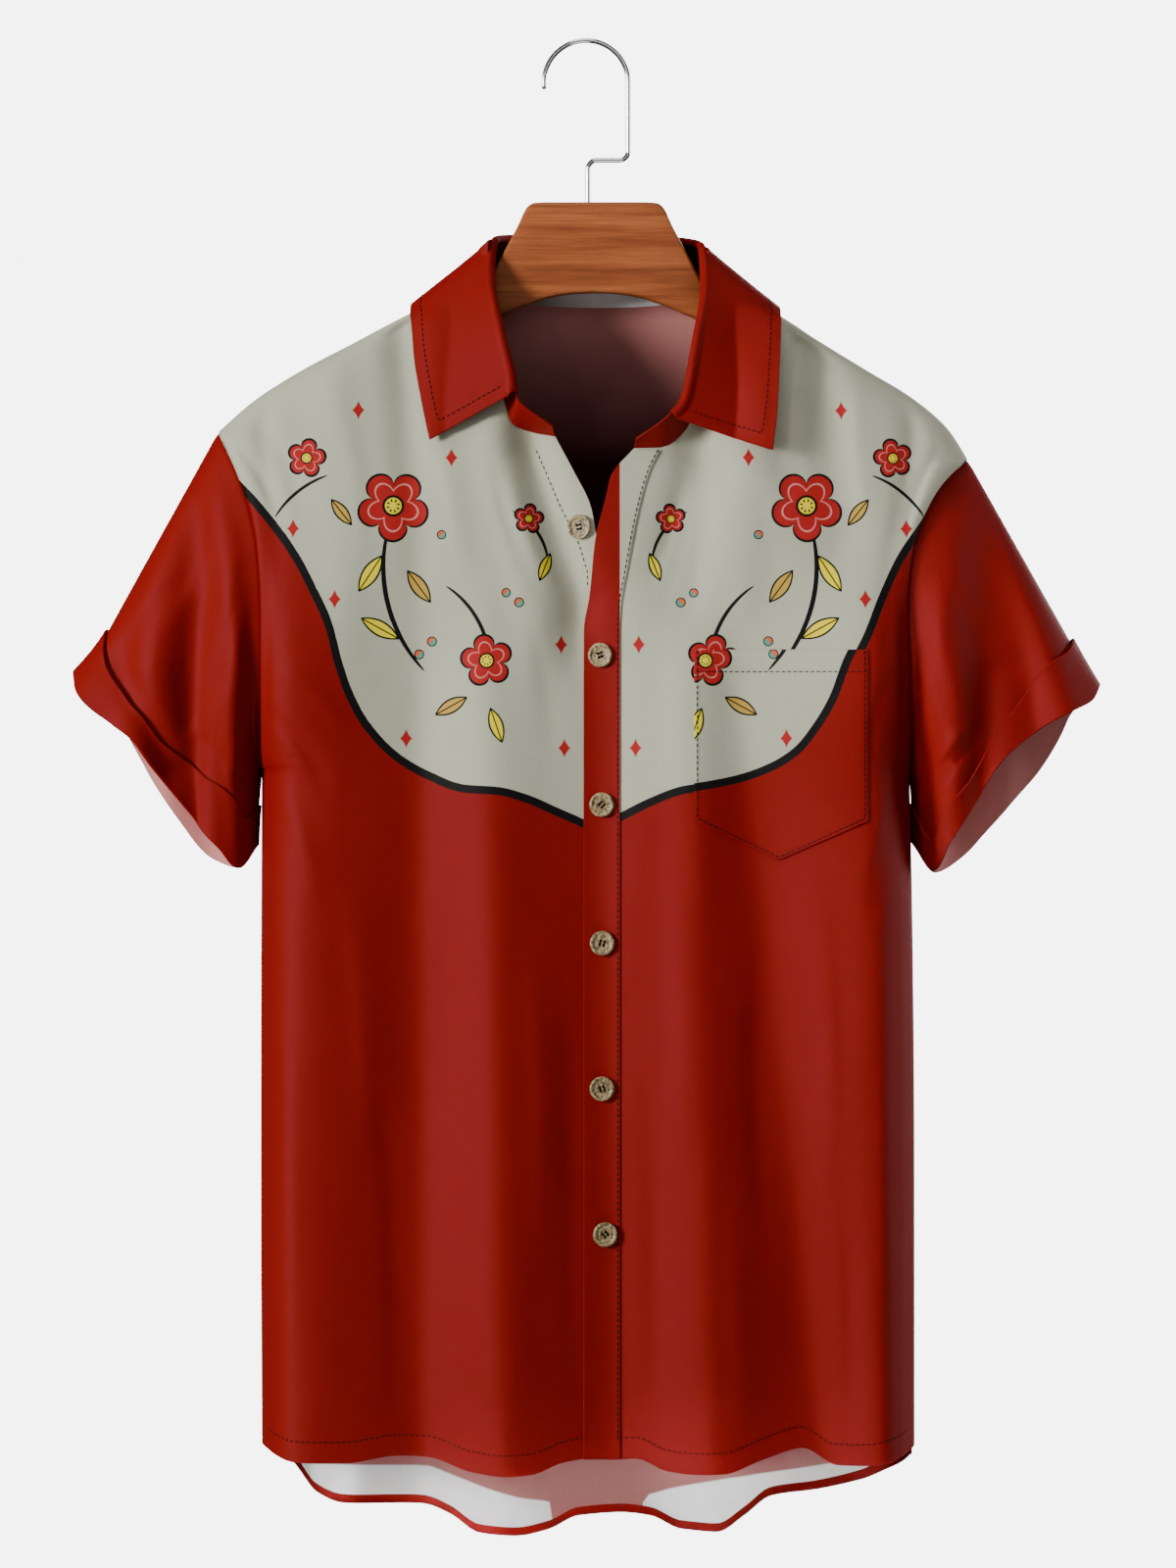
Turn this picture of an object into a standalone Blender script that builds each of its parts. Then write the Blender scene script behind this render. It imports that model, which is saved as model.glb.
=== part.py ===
"""A short-sleeved western shirt, hanging on a wooden hanger with a wire hook.

Z is up, X runs to the wearer's left and the chest faces -Y. The origin is the point inside the top of the
hook that rests on a rail. The tables are in millimetres, and the points given to Blender are in metres.
"""

import math
from collections import namedtuple

import bmesh
import bpy
import numpy as np
from mathutils import Matrix, Vector

MM = 0.001
WALL = 1.2          # cloth, modelled thick enough to be a solid wall
GAP = 0.3           # left between pieces at a seam
SEAM = GAP / 2      # each piece stops this far from the seam's own line
LAP = WALL + 0.5    # how far the upper front lies before the lower one
ROUND = 3.2         # the body's section is a superellipse of this power
ARMPIT = -455.0     # height of the armpits
CENTRE = 7.0        # the neck and the buttons hang this far to the wearer's left of the hook

# The body's half depth, before and behind the hanger's plane.
Depth = namedtuple("Depth", "z front back")
DEPTHS = [
    Depth(-950, 64, 60),
    Depth(-700, 62, 58),
    Depth(-500, 59, 55),
    Depth(-400, 56, 52),
    Depth(-300, 50, 49),
    Depth(-246, 40, 43),
    Depth(-200, 31, 38),
    Depth(-165, 22, 34),
    Depth(-145, 16, 31),
]

# Half width at the side seam and, above the armpit, at the armhole seam.
Side = namedtuple("Side", "z x")
RIGHT_SIDE = [
    Side(-950, 203),
    Side(-700, 204),
    Side(-455, 203.5),
    Side(-354, 203),
    Side(-320, 205),
    Side(-300, 208.5),
    Side(-280, 214.8),
    Side(-262, 222.5),
    Side(-244.5, 231.5),
]
LEFT_SIDE = [
    Side(-950, 204),
    Side(-700, 204),
    Side(-455, 201.5),
    Side(-400, 200.6),
    Side(-354, 199.4),
    Side(-320, 202.5),
    Side(-300, 209),
    Side(-280, 220),
    Side(-270, 229),
    Side(-262, 239),
]

# The shoulder seam, from the neck out to the top of the armhole.
Shoulder = namedtuple("Shoulder", "x z")
RIGHT_SHOULDER = [
    Shoulder(68, -150),
    Shoulder(111, -169.5),
    Shoulder(146, -188),
    Shoulder(180, -206),
    Shoulder(209, -224.7),
    Shoulder(231.5, -244.5),
]
LEFT_SHOULDER = [
    Shoulder(77, -151),
    Shoulder(120, -170.5),
    Shoulder(144, -186),
    Shoulder(174, -204.5),
    Shoulder(205, -223.5),
    Shoulder(226, -242),
    Shoulder(239, -262),
]

# The front edges, as x at each height. Above the second button they fall open.
Edge = namedtuple("Edge", "z x")
RIGHT_EDGE = [
    Edge(-900, 18),
    Edge(-420, 18),
    Edge(-370, 16),
    Edge(-335, 10.5),
    Edge(-309, 5.5),
    Edge(-293, 2.5),
    Edge(-270, -8.5),
    Edge(-248.5, -20),
]
LEFT_EDGE = [
    Edge(-900, -1.8),
    Edge(-369, -1.8),
    Edge(-348, 1.5),
    Edge(-313, 5.3),
    Edge(-286, 12.0),
    Edge(-273, 15.0),
    Edge(-256, 29.5),
]
# The stitched side of the band on the left front.
BAND_EDGE = [
    Edge(-900, 20.2),
    Edge(-370, 20.2),
    Edge(-356, 20.8),
    Edge(-327, 25.6),
    Edge(-292, 32.4),
    Edge(-269, 39.2),
    Edge(-255.5, 46.0),
]

# The front neckline, from the front edge to the shoulder.
Neck = namedtuple("Neck", "x z")
RIGHT_NECK = [
    Neck(-20, -248.5),
    Neck(-33, -246),
    Neck(-46, -241),
    Neck(-50.5, -230),
    Neck(-56, -203),
    Neck(-62, -177),
    Neck(-68, -150),
]
LEFT_NECK = [
    Neck(29.5, -256),
    Neck(46, -255.5),
    Neck(60, -246),
    Neck(67, -232),
    Neck(72, -205),
    Neck(75, -178),
    Neck(77, -151),
]
BACK_NECK_DIP = 13.0   # how far the back neckline falls below the shoulder points

# The hems, with the dips where a fold swings out.
Hem = namedtuple("Hem", "x z")
FRONT_HEM = [
    Hem(-204, -875.5),
    Hem(-180, -883.5),
    Hem(-150, -884),
    Hem(-118, -880),
    Hem(-98, -881),
    Hem(-71, -889),
    Hem(-50, -891),
    Hem(-34, -890),
    Hem(-15, -883),
    Hem(0, -881),
    Hem(20, -881.5),
    Hem(31, -881),
    Hem(49, -888),
    Hem(66, -889.5),
    Hem(84, -889),
    Hem(108, -880.5),
    Hem(132, -874),
    Hem(153, -884.5),
    Hem(172, -884),
    Hem(190, -880),
    Hem(205, -873),
]
BACK_HEM = [
    Hem(-204, -875.5),
    Hem(-188, -895),
    Hem(-172, -913),
    Hem(-155, -920),
    Hem(-124, -922.5),
    Hem(-104, -925),
    Hem(-87, -933),
    Hem(-68, -940.5),
    Hem(-45, -941),
    Hem(-24, -937),
    Hem(-6, -929),
    Hem(20, -927.5),
    Hem(40, -930),
    Hem(60, -938.5),
    Hem(82, -939.5),
    Hem(100, -928),
    Hem(116, -916),
    Hem(145, -913),
    Hem(172, -902),
    Hem(190, -890),
    Hem(205, -873),
]

# Soft folds: each runs from its top to its low end, bulges out where its depth is positive and in where
# it is negative, and dies away past both ends.
Fold = namedtuple("Fold", "top_z top_x low_z low_x width top_depth low_depth")
FRONT_FOLDS = [
    Fold(-420, -184, -950, -174, 24, 2, 9),
    Fold(-420, -112, -950, -108, 33, -3, -12),
    Fold(-400, -62, -950, -49, 31, 3, 12),
    Fold(-480, 14, -950, 17, 24, -1, -7),
    Fold(-420, 48, -950, 84, 34, 3, 12),
    Fold(-430, 96, -950, 130, 30, -3, -12),
    Fold(-420, 158, -950, 171, 24, 2, 9),
    Fold(-262, -60, -330, -24, 14, -4, -2),
    Fold(-270, 62, -345, 40, 13, -4, -2),
    Fold(-190, 128, -300, 160, 17, -3, -2),
    Fold(-240, -203, -305, -197, 8, -3, -2),
    Fold(-250, 203, -330, 192, 8, -4, -3),
]
BACK_FOLDS = [
    Fold(-430, -166, -950, -160, 28, 2, 9),
    Fold(-420, -98, -950, -102, 32, -2, -11),
    Fold(-400, -30, -950, -32, 34, 3, 11),
    Fold(-420, 42, -950, 46, 32, -3, -11),
    Fold(-410, 112, -950, 116, 32, 3, 11),
    Fold(-430, 170, -950, 172, 22, -2, -7),
    Fold(-220, -120, -330, -150, 18, -3, -2),
    Fold(-220, 130, -330, 160, 18, -3, -2),
]
RIGHT_SLEEVE_FRONT_FOLDS = [
    Fold(-300, -214, -520, -213, 8, -7, -12),
    Fold(-275, -226, -520, -232, 11, 3, 7),
    Fold(-280, -243, -400, -268, 14, -3, -5),
    Fold(-395, -290, -450, -262, 13, -4, -4),
]
LEFT_SLEEVE_FRONT_FOLDS = [
    Fold(-305, 205, -520, 210, 8, -6, -12),
    Fold(-290, 224, -520, 224, 11, 4, 7),
    Fold(-290, 240, -470, 246, 15, -4, -7),
    Fold(-330, 268, -450, 290, 14, 2, 4),
]
SLEEVE_BACK_FOLDS = [
    Fold(-320, 218, -520, 216, 10, -5, -9),
    Fold(-300, 242, -500, 240, 14, 3, 5),
    Fold(-320, 262, -470, 268, 15, -3, -5),
]
FOLD_FADE = 60.0    # a fold dies away over this much height past its ends

# A half of the shirt: everything that differs between the wearer's right and left.
Half = namedtuple(
    "Half",
    "sign side shoulder edge neck hole_front hole_back cuff_top cuff_low cuff_depth cuff_bow sleeve_folds",
)
RIGHT = Half(
    sign=-1,
    side=RIGHT_SIDE,
    shoulder=RIGHT_SHOULDER,
    edge=RIGHT_EDGE,
    neck=RIGHT_NECK,
    hole_front=44,
    hole_back=46,
    cuff_top=(-319.0, -391.0),
    cuff_low=(-216.5, -511.0),
    cuff_depth=38,
    cuff_bow=(0.0, 9.0),
    sleeve_folds=RIGHT_SLEEVE_FRONT_FOLDS,
)
LEFT = Half(
    sign=1,
    side=LEFT_SIDE,
    shoulder=LEFT_SHOULDER,
    edge=LEFT_EDGE,
    neck=LEFT_NECK,
    hole_front=42,
    hole_back=46,
    cuff_top=(319.0, -402.0),
    cuff_low=(215.5, -513.0),
    cuff_depth=40,
    cuff_bow=(-14.0, 7.0),
    sleeve_folds=LEFT_SLEEVE_FRONT_FOLDS,
)

# Rows and columns of the cloth grids.
LOW_ROWS = 9        # from hem to armpit
HOLE_ROWS = 13      # from armpit to the top of the armhole
FRONT_COLUMNS = 18
NECK_COLUMNS = 7    # along the front neckline, on each side
EDGE_ROWS = HOLE_ROWS - NECK_COLUMNS
NECK_ROW = LOW_ROWS + EDGE_ROWS     # the row at which the front neckline starts
ROW_POWER = 1.8     # rows lie closer together towards the shoulder
BACK_NECK_COLUMNS = 10
BACK_SHOULDER_COLUMNS = 11
SLEEVE_RINGS = 9
CUFF_RINGS = 4
CUFF_WIDTH = (30.0, 38.0)   # along the sleeve's top and along its underarm
CUFF_LIFT = WALL + 0.5

# The collar stand's top edge, by the share of the way from the front edge to the middle of the back.
Top = namedtuple("Top", "share x y z")
RIGHT_STAND = [
    Top(0.00, -21.5, -47.5, -243.5),
    Top(0.13, -43.6, -49.5, -225),
    Top(0.20, -45.0, -47.0, -214),
    Top(0.32, -52.0, -39.0, -184),
    Top(0.46, -58.5, -20.0, -149),
    Top(0.60, -56.5, -1.0, -125),
    Top(0.72, -47.0, 17.0, -122),
    Top(0.84, -26.0, 30.0, -120.5),
    Top(1.00, CENTRE, 36.0, -120),
]
LEFT_STAND = [
    Top(0.00, 30.5, -47.5, -251),
    Top(0.13, 51.0, -50.0, -236),
    Top(0.20, 58.0, -48.0, -228),
    Top(0.32, 65.5, -39.5, -194),
    Top(0.46, 71.5, -21.0, -155),
    Top(0.60, 70.5, -1.0, -129),
    Top(0.72, 61.0, 17.0, -124),
    Top(0.84, 40.0, 30.0, -121),
    Top(1.00, CENTRE, 36.0, -120),
]
# The collar leaf's outer edge, by the same share, and the radius that it rolls over.
Leaf = namedtuple("Leaf", "share x y z roll")
RIGHT_LEAF = [
    Leaf(0.19, -97.5, -44, -250.5, 3.6),
    Leaf(0.30, -102.5, -36, -227, 3.2),
    Leaf(0.40, -107.5, -26, -199, 2.8),
    Leaf(0.49, -109.5, -19, -177, 2.7),
    Leaf(0.53, -110.5, -11, -166.5, 2.6),
    Leaf(0.583, -110.0, 0, -163, 2.6),
    Leaf(0.66, -95.0, 27, -160, 2.6),
    Leaf(0.80, -53.0, 46, -163, 2.6),
    Leaf(1.00, CENTRE, 52, -167, 2.6),
]
LEFT_LEAF = [
    Leaf(0.19, 114.5, -44, -257.5, 3.6),
    Leaf(0.30, 117.5, -36, -232, 3.2),
    Leaf(0.40, 119.0, -26, -206, 2.8),
    Leaf(0.49, 120.5, -19, -180, 2.7),
    Leaf(0.53, 121.0, -11, -168.5, 2.6),
    Leaf(0.583, 120.5, 0, -165, 2.6),
    Leaf(0.66, 106.0, 26, -161, 2.6),
    Leaf(0.80, 65.0, 46, -163, 2.6),
    Leaf(1.00, CENTRE, 52, -167, 2.6),
]
STAND_ROWS = 3
FRONT_SHARE = 0.583  # of the way from the front edge to the middle of the back, at the shoulder
LEAF_ROWS = 5       # from the roll to the outer edge
LEAF_LIFT = 2.4     # the leaf's upper side lies at least this far above the shirt
LEAF_FROM = 1       # the leaf starts this many of the stand's columns in from its ends

# The patch pocket on the left chest, with its pointed bottom.
POCKET_INNER = 66.5
POCKET_OUTER = 173.0
POCKET_TOP = -381.5
POCKET_CORNER = -487.0
POCKET_POINT = (118.5, -511.0)
POCKET_LIFT = WALL + 0.6
POCKET_COLUMNS = 8
POCKET_ROWS = 8

# The band and the buttons.
BAND_WALL = 1.0
BAND_LIFT = BAND_WALL + 0.55
BUTTON_RADIUS = 7.6
BUTTON_THICK = 2.8
BUTTON_DISH = 0.9
BUTTON_RIM = 1.6
BUTTON_SIDES = 16
BUTTON_GAP = 0.35
OPEN_BUTTON = (-4.0, -305.0)
CLOSED_BUTTONS = [(8.6, -384.5), (9.2, -477.0), (9.4, -562.5), (9.0, -652.5), (11.0, -742.5)]

# The wooden hanger, section by section from its middle out.
Section = namedtuple("Section", "x top bottom thick round")
HANGER_MIDDLE = 5.0
BLOCK = [
    Section(0, -100.0, -156.5, 14, 3.0),
    Section(14, -100.0, -157.2, 14, 3.0),
    Section(28, -100.0, -159.5, 14, 3.0),
    Section(38, -100.4, -162.5, 14, 3.0),
    Section(42, -102.5, -164.0, 14, 3.0),
    Section(49, -116.0, -166.8, 14, 3.2),
    Section(56, -129.0, -170.0, 14, 3.6),
    Section(62, -140.5, -172.5, 13.5, 4.5),
    Section(67, -149.5, -175.5, 13.0, 4.5),
    Section(73, -158.5, -180.0, 13.0, 4.5),
]
ARM_STEPS = 9
ARM_END = 206.0
ARM_HEIGHT = (26.0, 19.0)
ARM_THICK = (13.0, 12.0)
ARM_SEAT = WALL + 1.8    # the cloth lies this far above the arm, wall included
CORNER_STEPS = 3

# The wire hook.
WIRE = 3.2
HOOK_MIDDLE = -0.6
HOOK_RADIUS = 26.4
HOOK_STEP = -73.4
HOOK_STEM = 0.6
HOOK_BEND = 5.5
HOOK_SOCKET = 18.0
HOOK_SIDES = 8
HOOK_TIP = math.radians(186)

RED = (0.42, 0.008, 0.006, 1)
WOOD = (0.40, 0.13, 0.04, 1)
STEEL = (0.62, 0.62, 0.63, 1)
HORN = (0.24, 0.18, 0.10, 1)


# ---- curves and sections -------------------------------------------------------------------------------

def through(keys, values, at):
    """A smooth curve through the points that never swings past them. The keys rise."""
    keys = np.asarray(keys, float)
    values = np.asarray(values, float)
    step = np.diff(keys)
    slope = np.diff(values) / step
    tangent = np.zeros(len(values))
    tangent[0] = slope[0]
    tangent[-1] = slope[-1]
    for i in range(1, len(slope)):
        if slope[i - 1] * slope[i] > 0:
            near, far = 2 * step[i] + step[i - 1], step[i] + 2 * step[i - 1]
            tangent[i] = (near + far) / (near / slope[i - 1] + far / slope[i])
    at = np.clip(at, keys[0], keys[-1])
    i = np.clip(np.searchsorted(keys, at, side="right") - 1, 0, len(step) - 1)
    t = (at - keys[i]) / step[i]
    return (
        values[i] * (1 + 2 * t) * (1 - t) ** 2
        + tangent[i] * step[i] * t * (1 - t) ** 2
        + values[i + 1] * t * t * (3 - 2 * t)
        + tangent[i + 1] * step[i] * t * t * (t - 1)
    )


def column(rows, key, value, at):
    """One column of a table, read as a smooth curve over another."""
    rows = sorted(rows, key=lambda row: getattr(row, key))
    return through([getattr(row, key) for row in rows], [getattr(row, value) for row in rows], at)


def soft_step(t):
    t = np.clip(t, 0, 1)
    return t * t * (3 - 2 * t)


def unit(vectors):
    length = np.linalg.norm(vectors, axis=-1, keepdims=True)
    return vectors / np.maximum(length, 1e-9)


def reach(half, z):
    """The body's half width at a height: the side seam, the armhole and then the shoulder seam."""
    tip = half.shoulder[-1].z
    low = column(half.side, "z", "x", np.minimum(z, tip))
    high = column(half.shoulder, "z", "x", np.maximum(z, tip))
    return np.where(z <= tip, low, high)


def hole_depth(half, z, depth):
    """How far the armhole seam stands off the hanger's plane at a height."""
    tip = half.shoulder[-1].z
    share = np.clip((z - ARMPIT) / (tip - ARMPIT), 0, 1)
    return depth * np.sin(np.arccos(1 - 2 * share)) ** 0.85


def fold_depth(folds, x, z):
    total = np.zeros(np.broadcast(x, z).shape)
    for fold in folds:
        along = (z - fold.top_z) / (fold.low_z - fold.top_z)
        share = np.clip(along, 0, 1)
        centre = fold.top_x + (fold.low_x - fold.top_x) * share
        depth = fold.top_depth + (fold.low_depth - fold.top_depth) * share
        past = np.maximum(z - fold.top_z, fold.low_z - z)
        fade = 1 - soft_step(past / FOLD_FADE)
        total = total + depth * fade * np.exp(-(((x - centre) / fold.width) ** 2))
    return total


def body_depth(x, z, front):
    """The cloth's distance from the hanger's plane at a point of the front or the back."""
    x = np.asarray(x, float)
    z = np.asarray(z, float)
    depth = column(DEPTHS, "z", "front" if front else "back", z)
    folds = fold_depth(FRONT_FOLDS if front else BACK_FOLDS, x, z)
    found = np.zeros(np.broadcast(x, z).shape)
    for half in (RIGHT, LEFT):
        mine = (x >= 0) == (half.sign > 0)
        hole = hole_depth(half, z, half.hole_front if front else half.hole_back)
        hole = np.minimum(hole, depth)
        share = np.clip(np.abs(x) / reach(half, z), 0, 1)
        cap = (1 - share**ROUND) ** (1 / ROUND)
        fade = soft_step((1 - share) / 0.12)
        found = np.where(mine, hole + (depth - hole) * cap + folds * fade, found)
    return found


def hole_point(half, angle):
    """The armhole seam: 0 at the armpit, half a turn at the shoulder, the front first and then the back."""
    tip = half.shoulder[-1].z
    z = ARMPIT + (tip - ARMPIT) * (1 - np.cos(angle)) / 2
    x = half.sign * column(half.side, "z", "x", z)
    before = -hole_depth(half, z, half.hole_front)
    behind = hole_depth(half, z, half.hole_back)
    y = np.where(np.asarray(angle) <= math.pi, before, behind)
    return np.stack(np.broadcast_arrays(x, y, z), axis=-1)


def patch(bottom, top, start, end, across, up):
    """A grid of (x, z) points filled in between four edges."""
    s = across[None, :, None]
    f = up[:, None, None]
    corners = (
        (1 - s) * (1 - f) * bottom[0]
        + s * (1 - f) * bottom[-1]
        + (1 - s) * f * top[0]
        + s * f * top[-1]
    )
    rows = (1 - f) * bottom[None] + f * top[None]
    columns = (1 - s) * start[:, None] + s * end[:, None]
    return rows + columns - corners


def grid_normals(points, closed=False):
    """Normals of a grid of points, whose columns may close into a ring."""
    down = np.gradient(points, axis=0)
    if closed:
        across = (np.roll(points, -1, axis=1) - np.roll(points, 1, axis=1)) / 2
    else:
        across = np.gradient(points, axis=1)
    return unit(np.cross(across, down))


# ---- the surfaces --------------------------------------------------------------------------------------

def along_curve(rows, first, second, shares):
    """Points at shares of the length of a smooth curve through a table's rows, in its two named columns."""
    corners = np.array([(getattr(row, first), getattr(row, second)) for row in rows], float)
    steps = np.linalg.norm(np.diff(corners, axis=0), axis=1)
    travelled = np.concatenate([[0], np.cumsum(steps)])
    return np.stack([through(travelled, corners[:, i], shares * travelled[-1]) for i in range(2)], axis=-1)


def mirrored(points, half):
    return points * np.array([half.sign, 1])


def plan_columns(start, width, count):
    """x at each column, closer together towards the side, where the cloth turns away."""
    return width * np.sin(np.linspace(math.asin(start / width), math.pi / 2, count + 1))


def closing(count):
    """Shares from 0 to 1 that lie closer and closer together."""
    return 1 - (1 - np.linspace(0, 1, count + 1)) ** ROW_POWER


def hole_plan(half):
    ring = hole_point(half, np.linspace(0, math.pi, HOLE_ROWS + 1))
    return ring[:, [0, 2]]


def shoulder_plan(half, count):
    return mirrored(along_curve(half.shoulder, "x", "z", np.linspace(0, 1, count + 1)), half)


def lap_columns(half):
    """The front edge's x and the two columns that both fronts share where they overlap."""
    near, far = LEFT_EDGE[0].x, BAND_EDGE[0].x
    if half.sign > 0:
        return np.array([near, (near + far) / 2, far])
    return np.array([RIGHT_EDGE[0].x, (near + far) / 2, near])


def widened(low):
    """Moves the rows under the armpit out with the side seam, so that the front meets the back there."""
    x, z = low[..., 0], low[..., 1]
    right, left = reach(RIGHT, z) / RIGHT.side[2].x, reach(LEFT, z) / LEFT.side[2].x
    grow = np.where(x < 0, right, left) - 1
    return np.stack([x * (1 + grow * soft_step((np.abs(x) - 60) / 120)), z], axis=-1)


def front_plan(half):
    """The front's grid as (x, z), from the hem up and from the front edge out to the side."""
    lap = lap_columns(half)
    rest = plan_columns(lap[2] * half.sign, half.side[2].x, FRONT_COLUMNS - 2)[1:] * half.sign
    x = np.concatenate([lap, rest])
    hem = np.stack([x, column(FRONT_HEM, "x", "z", x)], axis=-1)
    waist = np.stack([x, np.full(len(x), ARMPIT)], axis=-1)
    up = np.linspace(0, 1, LOW_ROWS + 1)[:-1, None, None]
    low = widened((1 - up) * hem + up * waist)
    neck = along_curve(half.neck, "x", "z", closing(NECK_COLUMNS))
    height = np.linspace(ARMPIT, neck[0, 1], EDGE_ROWS + 1)
    edge = np.stack([column(half.edge, "z", "x", height), height], axis=-1)
    start = np.concatenate([edge, neck[1:]])
    across = np.linspace(0, 1, FRONT_COLUMNS + 1)
    top = shoulder_plan(half, FRONT_COLUMNS)
    high = patch(waist, top, start, hole_plan(half), across, closing(HOLE_ROWS))
    return np.concatenate([low, high])


def back_plan():
    """The back's grid as (x, z), from the hem up and from the wearer's right side to the left."""
    middle = BACK_NECK_COLUMNS // 2 + BACK_SHOULDER_COLUMNS
    right = -plan_columns(0, RIGHT.side[2].x, middle)[::-1]
    left = plan_columns(0, LEFT.side[2].x, middle)[1:]
    x = np.concatenate([right, left])
    hem = np.stack([x, column(BACK_HEM, "x", "z", x)], axis=-1)
    waist = np.stack([x, np.full(len(x), ARMPIT)], axis=-1)
    up = np.linspace(0, 1, LOW_ROWS + 1)[:-1, None, None]
    low = widened((1 - up) * hem + up * waist)
    near = shoulder_plan(RIGHT, BACK_SHOULDER_COLUMNS)
    far = shoulder_plan(LEFT, BACK_SHOULDER_COLUMNS)
    turn = np.linspace(-math.pi / 2, math.pi / 2, BACK_NECK_COLUMNS + 1)
    share = (1 + np.sin(turn)) / 2
    dip = BACK_NECK_DIP * np.cos(turn) ** 0.8
    neck = near[0] + (far[0] - near[0]) * share[:, None] - np.stack([0 * dip, dip], axis=-1)
    top = np.concatenate([near[::-1], neck[1:-1], far])
    across = np.linspace(0, 1, 2 * middle + 1)
    high = patch(waist, top, hole_plan(RIGHT), hole_plan(LEFT), across, closing(HOLE_ROWS))
    return np.concatenate([low, high])


def lap_lift(x, z):
    """How far the left front is raised, to lie over the right one."""
    return LAP * soft_step((48 - x) / 24) * soft_step((-z - 270) / 40)


def front_surface(half):
    plan = front_plan(half)
    x, z = plan[..., 0], plan[..., 1]
    y = -body_depth(x, z, True)
    if half.sign > 0:
        y = y - lap_lift(x, z)
    return np.stack([x, y, z], axis=-1)


def back_surface():
    plan = back_plan()
    x, z = plan[..., 0], plan[..., 1]
    return np.stack([x, body_depth(x, z, False), z], axis=-1)


def two_runs(first, middle, last):
    """Even steps down the sleeve to the cuff's upper edge, and then down the cuff."""
    sleeve = np.linspace(first, middle, SLEEVE_RINGS + 1)
    cuff = np.linspace(middle, last, CUFF_RINGS + 1)
    return np.concatenate([sleeve, cuff[1:]])


def sleeve_surface(half):
    """Rings of points from the armhole to the sleeve's end; the last few lie under the cuff."""
    angle = np.linspace(0, 2 * math.pi, 2 * HOLE_ROWS + 1)[:-1]
    rise = (1 - np.cos(angle)) / 2
    swell = np.abs(np.sin(angle)) ** 0.85
    front = angle < math.pi
    hole = hole_point(half, angle)
    top, low = np.array(half.cuff_top), np.array(half.cuff_low)
    tip, armpit = hole[HOLE_ROWS, [0, 2]], hole[0, [0, 2]]
    cuff_tip = top + CUFF_WIDTH[0] * unit(tip - top)
    cuff_armpit = low + CUFF_WIDTH[1] * unit(armpit - low)
    down = unit(np.array([-(top - low)[1], (top - low)[0]]) * half.sign * -1)
    underarm = two_runs(armpit, cuff_armpit, low)
    overarm = two_runs(tip, cuff_tip, top)
    rings = []
    for i, (low_end, top_end) in enumerate(zip(underarm, overarm)):
        share = min(i / SLEEVE_RINGS, 1)
        past = max(i - SLEEVE_RINGS, 0) / CUFF_RINGS
        line = low_end + (top_end - low_end) * rise[:, None]
        bow = np.where(front, half.cuff_bow[0], half.cuff_bow[1]) * np.sin(angle) ** 2
        line = line + down * (bow * (0.4 * share + 0.6 * past))[:, None]
        depth = np.where(
            front,
            -(half.hole_front + (half.cuff_depth - half.hole_front) * share),
            half.hole_back + (half.cuff_depth - half.hole_back) * share,
        )
        y = depth * swell
        x, z = line[:, 0], line[:, 1]
        before = -fold_depth(half.sleeve_folds, x, z)
        behind = fold_depth(SLEEVE_BACK_FOLDS, np.abs(x), z)
        y = y + np.where(front, before, behind) * soft_step(share / 0.3) * swell
        ring = np.stack([x, y, z], axis=-1)
        chord = armpit + (tip - armpit) * rise[:, None]
        chord_depth = np.where(front, -half.hole_front, half.hole_back) * swell
        flat = np.stack([chord[:, 0], chord_depth, chord[:, 1]], axis=-1)
        rings.append(ring + (hole - flat) * (1 - share) ** 2)
    return np.array(rings)


def stand_shares():
    """How far round the collar each column is, from the front edge to the middle of the back."""
    front = FRONT_SHARE * closing(NECK_COLUMNS)
    behind = np.linspace(FRONT_SHARE, 1, BACK_NECK_COLUMNS // 2 + 1)
    return np.concatenate([front, behind[1:]])


def stand_surface():
    """The collar stand: from the neckline up to its top edge, from the right front round to the left."""
    bottom = neck_ring()
    share = stand_shares()
    right = np.stack([column(RIGHT_STAND, "share", axis, share) for axis in "xyz"], axis=-1)
    left = np.stack([column(LEFT_STAND, "share", axis, share) for axis in "xyz"], axis=-1)
    top = np.concatenate([right, left[::-1][1:]])
    up = np.linspace(0, 1, STAND_ROWS + 1)[:, None, None]
    return (1 - up) * bottom + up * top


def neck_ring():
    """The neckline, from the right front edge round the back to the left one."""
    right = front_surface(RIGHT)[NECK_ROW:-1, 0]
    left = front_surface(LEFT)[NECK_ROW:-1, 0]
    first = BACK_SHOULDER_COLUMNS
    back = back_surface()[-1, first:first + BACK_NECK_COLUMNS + 1]
    return np.concatenate([right, back, left[::-1]])


# ---- normals, and the seams that two pieces share ------------------------------------------------------

def facing(points, toward, closed=False):
    """The grid's normals, turned to the side that lies toward the given directions."""
    normals = grid_normals(points, closed)
    return normals * np.sign((normals * toward).sum())


def body_normals(half):
    return facing(front_surface(half), (0, -1, 0))


def back_normals():
    return facing(back_surface(), (0, 1, 0))


def mitre(first, second, line, toward):
    """Where two walls meet: the way through the wall, and the way across the seam to the second piece."""
    through_wall = unit(first + second)
    stretch = 1 / np.maximum((through_wall * first).sum(axis=-1, keepdims=True), 0.8)
    across = np.cross(np.gradient(line, axis=0), through_wall)
    across = unit(across) * np.sign((across * toward).sum(axis=-1, keepdims=True))
    return through_wall * WALL * stretch, across * SEAM


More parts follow.
